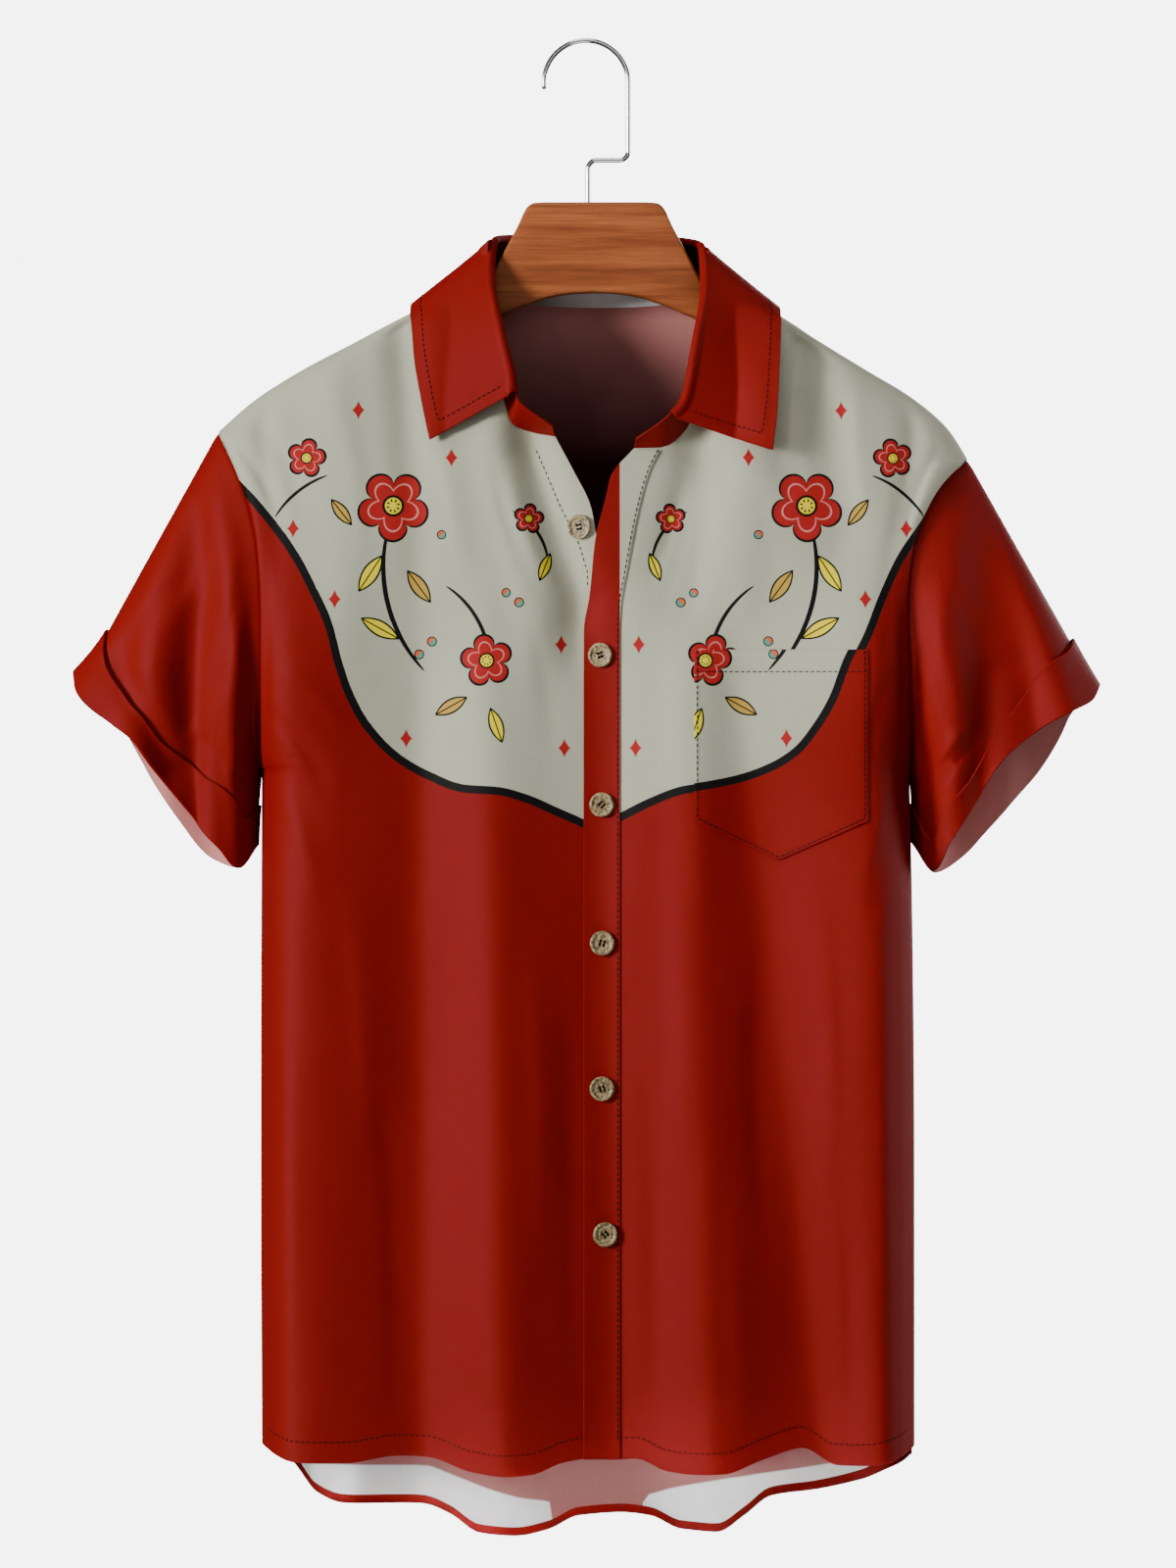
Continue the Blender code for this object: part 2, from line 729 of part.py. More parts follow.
def hole_seam(half):
    """The armhole's wall and its way across, at each point of the ring, from the body to the sleeve."""
    front = body_normals(half)[LOW_ROWS:, -1]
    back = back_normals()[LOW_ROWS:, 0 if half.sign < 0 else -1]
    ends = unit(front[[0, -1]] + back[[0, -1]])
    body = np.concatenate([ends[:1], front[1:-1], ends[1:], back[-2:0:-1]])
    rings = sleeve_surface(half)
    sleeve = facing(rings, rings - rings.mean(axis=1, keepdims=True), closed=True)[0]
    sleeve[[0, HOLE_ROWS], 1] = 0
    body[[0, HOLE_ROWS], 1] = 0
    wrapped = np.concatenate([rings[0], rings[0], rings[0]])
    count = len(body)
    wall, across = mitre(
        np.tile(unit(body), (3, 1)), np.tile(unit(sleeve), (3, 1)), wrapped, np.array([half.sign, 0, 0])
    )
    return wall[count:2 * count], across[count:2 * count]


def stand_normals():
    points = stand_surface()
    return facing(points, (points - np.array([CENTRE, 0, 0])) * np.array([1, 1, 0]))


def neck_seam():
    """The neckline's wall and its way across, from the body to the collar stand."""
    first = BACK_SHOULDER_COLUMNS
    back = back_normals()[-1, first:first + BACK_NECK_COLUMNS + 1]
    right = body_normals(RIGHT)[NECK_ROW:-1, 0]
    left = body_normals(LEFT)[NECK_ROW:-1, 0]
    body = np.concatenate([right, back, left[::-1]])
    stand = stand_normals()[0]
    points = stand_surface()
    for i in (NECK_COLUMNS, NECK_COLUMNS + BACK_NECK_COLUMNS):
        body[i, 1] = 0
        stand[i, 1] = 0
    return mitre(unit(body), unit(stand), points[0], points[1] - points[0])


def shoulder_wall(plan):
    """Straight up out of the shoulder seam."""
    line = np.gradient(plan, axis=0)
    across = unit(np.stack([-line[:, 1], 0 * line[:, 0], line[:, 0]], axis=-1))
    return across * np.sign(across[:, 2:]) * WALL


# ---- turning grids into solids -------------------------------------------------------------------------

def material(name, colour, roughness, metallic=0.0):
    made = bpy.data.materials.new(name)
    made.use_nodes = True
    shader = made.node_tree.nodes["Principled BSDF"]
    shader.inputs["Base Color"].default_value = colour
    shader.inputs["Roughness"].default_value = roughness
    shader.inputs["Metallic"].default_value = metallic
    made.diffuse_color = colour
    return made


def solid(name, points, faces, finish, smooth=True):
    mesh = bpy.data.meshes.new(name)
    mesh.from_pydata([tuple(p) for p in np.asarray(points) * MM], [], faces)
    mesh.materials.append(finish)
    if smooth:
        mesh.shade_smooth()
        mesh.set_sharp_from_angle(angle=math.radians(50))
    obj = bpy.data.objects.new(name, mesh)
    bpy.context.scene.collection.objects.link(obj)
    return obj


def sheet(name, outer, wall, finish, closed=False):
    """A wall of cloth: a grid of points on its outer side, and the way through it at each point."""
    if (grid_normals(outer, closed) * wall).sum() < 0:
        outer, wall = outer[:, ::-1], wall[:, ::-1]
    rows, columns = outer.shape[:2]
    points = np.concatenate([outer.reshape(-1, 3), (outer - wall).reshape(-1, 3)])

    def at(r, c, layer):
        return layer * rows * columns + r * columns + c % columns

    faces = []
    spans = columns if closed else columns - 1
    for r in range(rows - 1):
        for c in range(spans):
            for half in ([(r, c), (r, c + 1), (r + 1, c + 1)], [(r, c), (r + 1, c + 1), (r + 1, c)]):
                faces.append([at(i, j, 0) for i, j in half])
                faces.append([at(i, j, 1) for i, j in reversed(half)])
    for c in range(spans):
        faces.append([at(0, c + 1, 0), at(0, c, 0), at(0, c, 1), at(0, c + 1, 1)])
        end = rows - 1
        faces.append([at(end, c, 0), at(end, c + 1, 0), at(end, c + 1, 1), at(end, c, 1)])
    if not closed:
        last = columns - 1
        for r in range(rows - 1):
            faces.append([at(r, 0, 0), at(r + 1, 0, 0), at(r + 1, 0, 1), at(r, 0, 1)])
            faces.append([at(r + 1, last, 0), at(r, last, 0), at(r, last, 1), at(r + 1, last, 1)])
    return solid(name, points, faces, finish)


def loft(name, rings, finish, closed=False):
    """A solid through rings of points, all of the same count, capped at both ends or closed on itself."""
    rings = np.asarray(rings)
    count, around = rings.shape[:2]
    faces = []
    for i in range(count if closed else count - 1):
        j = (i + 1) % count
        for k in range(around):
            m = (k + 1) % around
            faces.append([i * around + k, i * around + m, j * around + m, j * around + k])
    if not closed:
        faces.append([k for k in reversed(range(around))])
        faces.append([(count - 1) * around + k for k in range(around)])
    return solid(name, rings.reshape(-1, 3), faces, finish)


# ---- the pieces ----------------------------------------------------------------------------------------

def fronts():
    for half, name in ((RIGHT, "front_right"), (LEFT, "front_left")):
        points = front_surface(half)
        wall = body_normals(half) * WALL
        wall[:LOW_ROWS, -1] = (half.sign * WALL, 0, 0)
        wall[-1] = shoulder_wall(points[-1][:, [0, 2]])
        hole, across_hole = hole_seam(half)
        wall[LOW_ROWS:, -1] = hole[:HOLE_ROWS + 1]
        points[LOW_ROWS:, -1] -= across_hole[:HOLE_ROWS + 1]
        neck, across_neck = neck_seam()
        if half.sign > 0:
            neck, across_neck = neck[::-1], across_neck[::-1]
        wall[NECK_ROW:, 0] = neck[:NECK_COLUMNS + 1]
        points[NECK_ROW:, 0] -= across_neck[:NECK_COLUMNS + 1]
        points[..., 1] = np.minimum(points[..., 1], -SEAM)
        sheet(name, points, wall, material(name + "_cloth", RED, 0.85))


def back():
    points = back_surface()
    wall = back_normals() * WALL
    shoulder = BACK_SHOULDER_COLUMNS + 1
    first = BACK_SHOULDER_COLUMNS
    last = first + BACK_NECK_COLUMNS
    seam = shoulder_wall(points[-1][:, [0, 2]])
    wall[-1, :shoulder] = seam[:shoulder]
    wall[-1, -shoulder:] = seam[-shoulder:]
    for half, end in ((RIGHT, 0), (LEFT, -1)):
        hole, across_hole = hole_seam(half)
        behind = np.concatenate([hole[:1], hole[:HOLE_ROWS - 1:-1]])
        across = np.concatenate([across_hole[:1], across_hole[:HOLE_ROWS - 1:-1]])
        wall[:LOW_ROWS, end] = (half.sign * WALL, 0, 0)
        wall[LOW_ROWS:, end] = behind
        points[LOW_ROWS:, end] -= across
    neck, across_neck = neck_seam()
    wall[-1, first:last + 1] = neck[NECK_COLUMNS:NECK_COLUMNS + BACK_NECK_COLUMNS + 1]
    points[-1, first:last + 1] -= across_neck[NECK_COLUMNS:NECK_COLUMNS + BACK_NECK_COLUMNS + 1]
    points[..., 1] = np.maximum(points[..., 1], SEAM)
    sheet("back", points, wall, material("back_cloth", RED, 0.85))


def sleeves():
    for half, side in ((RIGHT, "right"), (LEFT, "left")):
        rings = sleeve_surface(half)
        normals = facing(rings, rings - rings.mean(axis=1, keepdims=True), closed=True)
        wall = normals * WALL
        hole, across_hole = hole_seam(half)
        wall[0] = hole
        cuff = rings[SLEEVE_RINGS:] + normals[SLEEVE_RINGS:] * CUFF_LIFT
        rings[0] += across_hole
        for name, grid, through_wall in (("sleeve_", rings, wall), ("cuff_", cuff, wall[SLEEVE_RINGS:])):
            finish = material(name + side + "_cloth", RED, 0.85)
            sheet(name + side, grid, through_wall, finish, closed=True)


def collar():
    stand = stand_surface()
    normals = stand_normals()
    wall = normals * WALL
    neck, across_neck = neck_seam()
    wall[0] = neck
    top, rise = stand[-1].copy(), unit(stand[-1] - stand[-2])
    stand[0] += across_neck
    sheet("collar_stand", stand, wall, material("collar_stand_cloth", RED, 0.85))

    share = stand_shares()
    right = [column(RIGHT_LEAF, "share", name, share) for name in ("x", "y", "z", "roll")]
    left = [column(LEFT_LEAF, "share", name, share) for name in ("x", "y", "z", "roll")]
    edge = np.concatenate([np.stack(right, axis=-1), np.stack(left, axis=-1)[::-1][1:]])
    kept = slice(LEAF_FROM, len(top) - LEAF_FROM)
    edge, top, rise, out = edge[kept], top[kept], rise[kept], normals[-1][kept]
    roll = edge[:, 3:]
    centre = top + rise * GAP + out * (roll - WALL)
    rows = []
    walls = []
    for turn in np.radians([0, 60, 120, 180]):
        arm = -math.cos(turn) * out + math.sin(turn) * rise
        rows.append(centre + arm * roll)
        walls.append(arm * WALL)
    start = rows[-1]
    for i in range(1, LEAF_ROWS + 1):
        along = i / LEAF_ROWS
        point = start + (edge[:, :3] - start) * along
        rows.append(clear_of_body(point))
    points = np.array(rows)
    normals = facing(points, points - np.array([CENTRE, 0, -300]))
    walls += [normals[i] * WALL for i in range(4, len(points))]
    sheet("collar_leaf", points, np.array(walls), material("collar_leaf_cloth", RED, 0.85))


def clear_of_body(points):
    """Moves points in front of the chest or behind the back out to where the collar leaf lies on it."""
    x, y, z = points.T
    width = np.where(x < 0, reach(RIGHT, z), reach(LEFT, z))
    over = np.abs(x) < width
    front = body_depth(x, z, True) + LEAF_LIFT
    behind = body_depth(x, z, False) + LEAF_LIFT
    y = np.where(over & (y < 0), np.minimum(y, -front), y)
    y = np.where(over & (y > 0), np.maximum(y, behind), y)
    return np.stack([x, y, z], axis=-1)


def on_front(x, z, lift):
    """A point on the left front, and how far it is moved out from it."""
    return np.stack([x, -body_depth(x, z, True) - lap_lift(x, z) - lift, z], axis=-1)


def pocket():
    across = np.linspace(0, 1, POCKET_COLUMNS + 1)[None, :]
    down = np.linspace(0, 1, POCKET_ROWS + 1)[:, None]
    x = POCKET_INNER + (POCKET_OUTER - POCKET_INNER) * across
    middle = POCKET_POINT[0]
    side = np.where(x < middle, middle - POCKET_INNER, POCKET_OUTER - middle)
    bottom = POCKET_POINT[1] + (POCKET_CORNER - POCKET_POINT[1]) * np.abs(x - middle) / side
    z = bottom + (POCKET_TOP - bottom) * down
    points = on_front(x + 0 * z, z, POCKET_LIFT)
    wall = facing(points, (0, -1, 0)) * WALL
    sheet("pocket", points, wall, material("pocket_cloth", RED, 0.85))


def band():
    z = front_surface(LEFT)[:NECK_ROW + 1, 0, 2].copy()
    z[-1] -= 1.2
    inner = column(LEFT_EDGE, "z", "x", z)
    outer = column(BAND_EDGE, "z", "x", z)
    x = inner[:, None] + (outer - inner)[:, None] * np.array([0, 0.5, 1])
    hem = column(FRONT_HEM, "x", "z", x)
    low = np.arange(len(z)) < LOW_ROWS
    share = np.minimum(np.arange(len(z)) / LOW_ROWS, 1)[:, None]
    height = np.where(low[:, None], hem + (ARMPIT - hem) * share, z[:, None])
    points = on_front(x, height, BAND_LIFT)
    wall = facing(points, (0, -1, 0)) * BAND_WALL
    sheet("front_band", points, wall, material("front_band_cloth", RED, 0.85))


def buttons():
    profile = [
        (0, 0),
        (BUTTON_RADIUS - 0.9, 0),
        (BUTTON_RADIUS, 0.9),
        (BUTTON_RADIUS, BUTTON_THICK - 0.7),
        (BUTTON_RADIUS - 0.7, BUTTON_THICK),
        (BUTTON_RADIUS - BUTTON_RIM, BUTTON_THICK),
        (BUTTON_RADIUS - BUTTON_RIM - 0.9, BUTTON_THICK - BUTTON_DISH),
        (0, BUTTON_THICK - BUTTON_DISH),
    ]
    turn = np.linspace(0, 2 * math.pi, BUTTON_SIDES + 1)[:-1]
    places = [(OPEN_BUTTON, 0.0)] + [(place, BAND_LIFT) for place in CLOSED_BUTTONS]
    for number, ((x, z), lift) in enumerate(places, 1):
        ring = BUTTON_RADIUS * np.stack([np.cos(turn), np.sin(turn)])
        near = on_front(x + ring[0], z + ring[1], lift if number > 1 else 0)
        if number == 1:
            near[:, 1] = -body_depth(x + ring[0], z + ring[1], True)
        middle = near.mean(axis=0)
        right = unit(near[0] - near[BUTTON_SIDES // 2])
        up = unit(near[BUTTON_SIDES // 4] - near[3 * BUTTON_SIDES // 4])
        out = unit(np.cross(right, up))
        up = np.cross(out, right)
        seat = ((near - middle) @ out).max() + BUTTON_GAP
        mesh = bpy.data.meshes.new("button")
        shape = bmesh.new()
        corners = [shape.verts.new((radius * MM, 0, height * MM)) for radius, height in profile]
        edges = [shape.edges.new(pair) for pair in zip(corners, corners[1:])]
        bmesh.ops.spin(
            shape,
            geom=corners + edges,
            axis=(0, 0, 1),
            angle=2 * math.pi,
            steps=BUTTON_SIDES,
            use_merge=True,
        )
        bmesh.ops.remove_doubles(shape, verts=shape.verts, dist=1e-6)
        bmesh.ops.recalc_face_normals(shape, faces=shape.faces)
        shape.to_mesh(mesh)
        shape.free()
        mesh.materials.append(material("button_%d_horn" % number, HORN, 0.35))
        mesh.shade_smooth()
        mesh.set_sharp_from_angle(angle=math.radians(40))
        button = bpy.data.objects.new("button_%d" % number, mesh)
        button.matrix_world = Matrix([
            (right[0], up[0], out[0], 0),
            (right[1], up[1], out[1], 0),
            (right[2], up[2], out[2], 0),
            (0, 0, 0, 1),
        ])
        button.location = Vector((middle + out * seat) * MM)
        bpy.context.scene.collection.objects.link(button)


def block_section(x, top, bottom, thick, corner):
    """A rounded rectangle across the hanger, as a ring of points."""
    ring = []
    for quarter in range(4):
        start = quarter * math.pi / 2
        middle_y = (thick / 2 - corner) * (1 if quarter in (0, 3) else -1)
        middle_z = (top - corner) if quarter in (0, 1) else (bottom + corner)
        for step in range(CORNER_STEPS + 1):
            turn = start + step / CORNER_STEPS * math.pi / 2
            ring.append((x, middle_y + corner * math.cos(turn), middle_z + corner * math.sin(turn)))
    return ring


def hanger():
    sections = []
    for half in (RIGHT, LEFT):
        arm = []
        first = HANGER_MIDDLE + half.sign * BLOCK[-1].x
        for x in np.linspace(abs(first), ARM_END, ARM_STEPS + 2)[1:]:
            share = (x - abs(first)) / (ARM_END - abs(first))
            top = column(half.shoulder, "x", "z", x) - ARM_SEAT
            height = ARM_HEIGHT[0] + (ARM_HEIGHT[1] - ARM_HEIGHT[0]) * share
            thick = ARM_THICK[0] + (ARM_THICK[1] - ARM_THICK[0]) * share
            arm.append(Section(half.sign * x, top, top - height, thick, 4.5))
        end = arm[-1]
        arm.append(Section(end.x + half.sign * 3, end.top - 4.5, end.bottom + 3, end.thick - 5, 3.4))
        block = [row._replace(x=HANGER_MIDDLE + half.sign * row.x) for row in BLOCK]
        mine = block + arm
        sections = sections[::-1] + mine[1:] if sections else mine
    sections.sort(key=lambda row: row.x)
    rings = [block_section(row.x, row.top, row.bottom, row.thick, row.round) for row in sections]
    body = loft("hanger_body", rings, material("hanger_wood", WOOD, 0.45))
    bpy.ops.mesh.primitive_cylinder_add(
        vertices=12,
        radius=(WIRE / 2 + 0.35) * MM,
        depth=2 * HOOK_SOCKET * MM,
        location=(HOOK_STEM * MM, 0, BLOCK[0].top * MM),
    )
    drill = bpy.context.object
    drill.name = "hook_socket_cutter"
    drill.hide_render = True
    drill.display_type = "WIRE"
    cut = body.modifiers.new("hook socket", "BOOLEAN")
    cut.object = drill
    cut.operation = "DIFFERENCE"


def arc(centre, radius, start, end, steps):
    turn = np.linspace(start, end, steps + 1)
    return [(centre[0] + radius * math.cos(t), centre[1] + radius * math.sin(t)) for t in turn]


def hook():
    """The wire: a half circle over the rail, a straight side, and a step back to the middle of the wood."""
    upright = HOOK_MIDDLE + HOOK_RADIUS
    height = WIRE / 2 - HOOK_RADIUS
    path = arc((HOOK_MIDDLE, height), HOOK_RADIUS, HOOK_TIP, 0, 20)
    path += arc((upright - HOOK_BEND, HOOK_STEP + HOOK_BEND), HOOK_BEND, 0, -math.pi / 2, 5)
    path += arc((HOOK_STEM + HOOK_BEND, HOOK_STEP - HOOK_BEND), HOOK_BEND, math.pi / 2, math.pi, 5)
    path.append((HOOK_STEM, BLOCK[0].top - HOOK_SOCKET + 0.5))
    path = np.array(path)
    along = unit(np.gradient(path, axis=0))
    along[0] = unit(path[1] - path[0])
    along[-1] = (0, -1)
    side = np.stack([along[:, 1], -along[:, 0]], axis=-1)
    turn = np.linspace(0, 2 * math.pi, HOOK_SIDES + 1)[:-1]
    rings = []
    for point, across in zip(path, side):
        x = point[0] + WIRE / 2 * np.cos(turn) * across[0]
        z = point[1] + WIRE / 2 * np.cos(turn) * across[1]
        rings.append(np.stack([x, WIRE / 2 * np.sin(turn), z], axis=-1))
    loft("hanger_hook", rings, material("hanger_steel", STEEL, 0.25, 1.0))


def main():
    for obj in list(bpy.data.objects):
        bpy.data.objects.remove(obj, do_unlink=True)
    fronts()
    back()
    sleeves()
    collar()
    pocket()
    band()
    buttons()
    hanger()
    hook()


main()
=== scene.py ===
# A short-sleeved western shirt on a wooden hanger. The cloth is worked out in millimetres.

import functools
import math

import bmesh
import bpy
import numpy as np
from mathutils import Matrix, Vector


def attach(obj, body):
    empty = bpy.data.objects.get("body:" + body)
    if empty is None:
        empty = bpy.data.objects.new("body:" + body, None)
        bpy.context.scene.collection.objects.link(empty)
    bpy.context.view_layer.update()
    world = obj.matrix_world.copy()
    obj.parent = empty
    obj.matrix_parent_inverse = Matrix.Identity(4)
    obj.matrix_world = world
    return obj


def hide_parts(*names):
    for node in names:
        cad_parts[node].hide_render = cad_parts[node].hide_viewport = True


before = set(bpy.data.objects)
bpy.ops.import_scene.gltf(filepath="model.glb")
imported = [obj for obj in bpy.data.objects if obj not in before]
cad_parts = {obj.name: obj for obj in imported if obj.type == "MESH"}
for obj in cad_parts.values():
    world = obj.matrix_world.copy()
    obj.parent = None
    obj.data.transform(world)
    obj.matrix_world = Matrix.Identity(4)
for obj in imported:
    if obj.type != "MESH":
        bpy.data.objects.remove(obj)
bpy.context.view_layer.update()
mm = 0.001

cloth = {
    "wall": 0.8,          # most of the shirt is one thickness of light cloth
    "collarWall": 1.2,    # the collar is stiffened
    "seam": 0.03,         # each piece stops this far from the seam's line
    "seamSink": 0.5,      # and dips this much beside it
    "sinkWidth": 2.6,
    "stitchWidth": 0.9,   # the narrower dip along a line of stitches
    "stitchOff": 5.5,     # which lies this far from the shoulder seam
    "round": 3.2,         # the body's section is a superellipse of this power
    "armpit": -455.0,
    "centre": 7.0,        # the neck hangs this far to the wearer's left of the hook
}

# How the body's section changes: shares of its width or of a fold's length, and heights.
section = {
    "holeRound": 1.1,         # how full the armhole's curve is
    "holeSoft": (45.0, 22.0),    # its depth is evened over this height, in a bell this wide
    "holeBeside": 0.12,       # but not this near to the seam
    "squareFrom": -430.0, "squareOver": 120.0,
    "fineOver": 0.04, "foldOver": 0.12, "drapeOver": 0.05,    # none of these at the seam itself
    "foldFade": 60.0, "foldGrow": 0.6, "drapeGrow": 0.18, "creaseFade": 0.8,
}

# Half depth of the body before and behind the hanger: height, front, back.
bodyDepths = [
    (-950, 64, 60), (-700, 62, 58), (-500, 59, 55), (-400, 56, 52), (-300, 50, 49),
    (-246, 40, 43), (-200, 31, 38), (-165, 22, 34), (-145, 16, 31),
]

# The two halves. Sides and edges are (height, x); shoulders and necklines are (x, height).
rightHalf = {
    "sign": -1,
    "side": [
        (-950, 203), (-700, 204), (-455, 203.5), (-354, 203), (-320, 205),
        (-300, 208.5), (-280, 214.8), (-262, 222.5), (-244.5, 231.5),
    ],
    "shoulder": [(68, -150), (111, -169.5), (146, -188), (180, -206), (209, -224.7), (231.5, -244.5)],
    "edge": [
        (-900, 18), (-420, 18), (-370, 16), (-335, 10.5), (-309, 5.5), (-293, 2.5),
        (-270, -8.5), (-248.5, -20),
    ],
    "neck": [
        (-20, -248.5), (-33, -246), (-46, -241), (-50.5, -230), (-56, -203), (-62, -177), (-68, -150),
    ],
    "holeFront": 44,
    "holeBack": 46,
    "cuffDepth": 38,
    "flare": 5.0,
    "boxy": 0.0,    # how much squarer the front gets below the armpit
    # the sleeve's end before and behind: share of the way from the armpit up to the top, x, height
    "rimFront": [
        (0, -207.2, -501.6), (0.055, -217.8, -516.0), (0.14, -229.6, -503.5), (0.34, -251.7, -477.7),
        (0.51, -269.5, -455.6), (0.67, -284.9, -434.6), (0.76, -293.0, -428.0), (0.955, -313.8, -407.6),
        (1, -315.5, -396.5),
    ],
    "rimRear": [
        (0, -207.2, -501.6), (0.055, -219.5, -516.5), (0.14, -235.5, -511.5), (0.34, -258.5, -485.5),
        (0.51, -275.0, -462.0), (0.67, -287.0, -439.0), (0.76, -292.0, -428.0), (0.955, -310.0, -405.0),
        (1, -313.5, -396.5),
    ],
}
leftHalf = {
    "sign": 1,
    "side": [
        (-950, 204), (-700, 204), (-455, 201.5), (-400, 200.6), (-354, 199.4), (-320, 202.5),
        (-300, 209), (-280, 220), (-270, 229), (-262, 239),
    ],
    "shoulder": [
        (77, -151), (120, -170.5), (144, -186), (174, -204.5), (205, -223.5), (226, -242), (239, -262),
    ],
    "edge": [
        (-900, -1.8), (-369, -1.8), (-348, 1.5), (-313, 5.3), (-286, 12.0), (-273, 15.0), (-256, 29.5),
    ],
    "neck": [(29.5, -256), (46, -255.5), (60, -246), (67, -232), (72, -205), (75, -178), (77, -151)],
    "holeFront": 42,
    "holeBack": 46,
    "cuffDepth": 40,
    "flare": 0.6,
    "boxy": 3.0,
    "rimFront": [
        (0, 204.7, -500.4), (0.06, 216.5, -517.6), (0.123, 225.9, -499.5), (0.332, 243.9, -470.0),
        (0.527, 261.9, -444.8), (0.702, 283.5, -428.6), (0.829, 300.6, -418.7), (0.93, 313.0, -412.0),
        (1, 318.3, -403.0),
    ],
    "rimRear": [
        (0, 204.7, -500.4), (0.06, 220.0, -519.5), (0.128, 236.5, -510.5), (0.268, 252.5, -493.5),
        (0.433, 270.5, -474.0), (0.581, 285.5, -456.5), (0.759, 299.0, -433.0), (0.84, 304.0, -421.0),
        (0.93, 312.0, -410.5), (1, 318.3, -403.0),
    ],
}
bandEdge = [
    (-900, 20.2), (-370, 20.2), (-356, 20.8), (-327, 25.6), (-292, 32.4), (-269, 39.2), (-255.5, 46.0),
]
backNeckDip = 13.0

# The hems as (x, height).
frontHem = [
    (-204, -875.5), (-180, -883.5), (-150, -884), (-118, -880), (-98, -881), (-71, -889), (-50, -891),
    (-34, -890), (-15, -883), (0, -881), (20, -881.5), (31, -881), (49, -888), (66, -889.5), (84, -889),
    (108, -880.5), (132, -874), (153, -884.5), (172, -884), (190, -880), (205, -873),
]
backHem = [
    (-204, -875.5), (-186, -894), (-172, -913), (-155, -920), (-124, -921), (-104, -922), (-87, -928),
    (-68, -939.5), (-45, -941), (-24, -937), (-6, -929), (20, -927.5), (40, -930), (60, -938.5),
    (82, -939.5), (100, -928), (116, -916), (145, -912), (173, -905), (185, -899), (198, -890),
    (202, -883), (204.2, -874), (205, -873),
]

# Soft folds: top height and x, low height and x, width, depths at the two ends, lean to the right.
frontFolds = [
    (-258, -34, -350, -4, 12, -9, -7, 0),
    (-236, 74, -340, 62, 15, -13, -5, -0.2), (-190, 138, -300, 158, 15, -9, -3, 0),
    (-240, -203, -305, -197, 8, -3, -2, 0), (-250, 203, -330, 192, 8, -4, -3, 0),
    (-255, -58, -360, -32, 13, 4, 3, 0), (-192, -114, -310, -104, 13, -9, -4, 0),
    (-215, -158, -340, -150, 16, 4, 2, 0), (-236, 104, -350, 96, 14, 4, 2, 0),
]
backFolds = [
    (-220, -120, -330, -150, 18, -3, -2, 0), (-220, 130, -330, 160, 18, -3, -2, 0),
]
rightHalf["sleeveFolds"] = [
    (-262, -208, -530, -204, 9, -11, -17, 0), (-268, -234, -530, -211, 9, 6, 11, 0),
    (-285, -248, -500, -243, 10, -6, -11, -0.2), (-392, -290, -452, -262, 12, -8, -8, 0),
    (-285, -270, -480, -280, 15, 4, 7, 0),
]
leftHalf["sleeveFolds"] = [
    (-290, 204, -400, 204, 6, -7, -3, 0), (-275, 236, -530, 222, 14, 5, 7, 0),
    (-285, 253, -440, 280, 13, -3, -4, -0.2), (-285, 274, -430, 300, 15, 6, 8, 0),
    (-350, 252, -500, 243, 11, -2, -4, 0), (-380, 226, -540, 214, 17, 4, 13, 0),
]
sleeveBackFolds = [
    (-320, 214, -520, 210, 10, -6, -11, 0), (-300, 234, -500, 232, 14, 5, 7, 0),
    (-320, 258, -470, 264, 15, -4, -6, 0),
]

# The long folds, as crests and valleys in turn: x and depth at the top of them, x and depth at the hem.
drape = {
    "from": -300, "to": -880,
    "front": [
        (-205, 0, -205, 0, 6), (-186, 7, -188, 18, 9), (-103, -7, -101, -20, 9), (-66, 4, -51, 10, 9),
        (2, -6, 21, -15, 10), (62, 5, 77, 12, 9), (81, -1, 145, -8, 9), (178, 8, 186, 21, 7),
        (205, 0, 205, 0, 5),
    ],
    "back": [
        (-205, 0, -205, 0, 6), (-180, 4, -177, 10, 9), (-150, -3, -146, -5, 9), (-110, 3, -106, 9, 10),
        (-48, -4, -50, -13, 11), (36, 4, 56, 12, 11), (84, -3, 93, -9, 10), (150, 4, 166, 10, 9),
        (205, 0, 205, 0, 6),
    ],
}

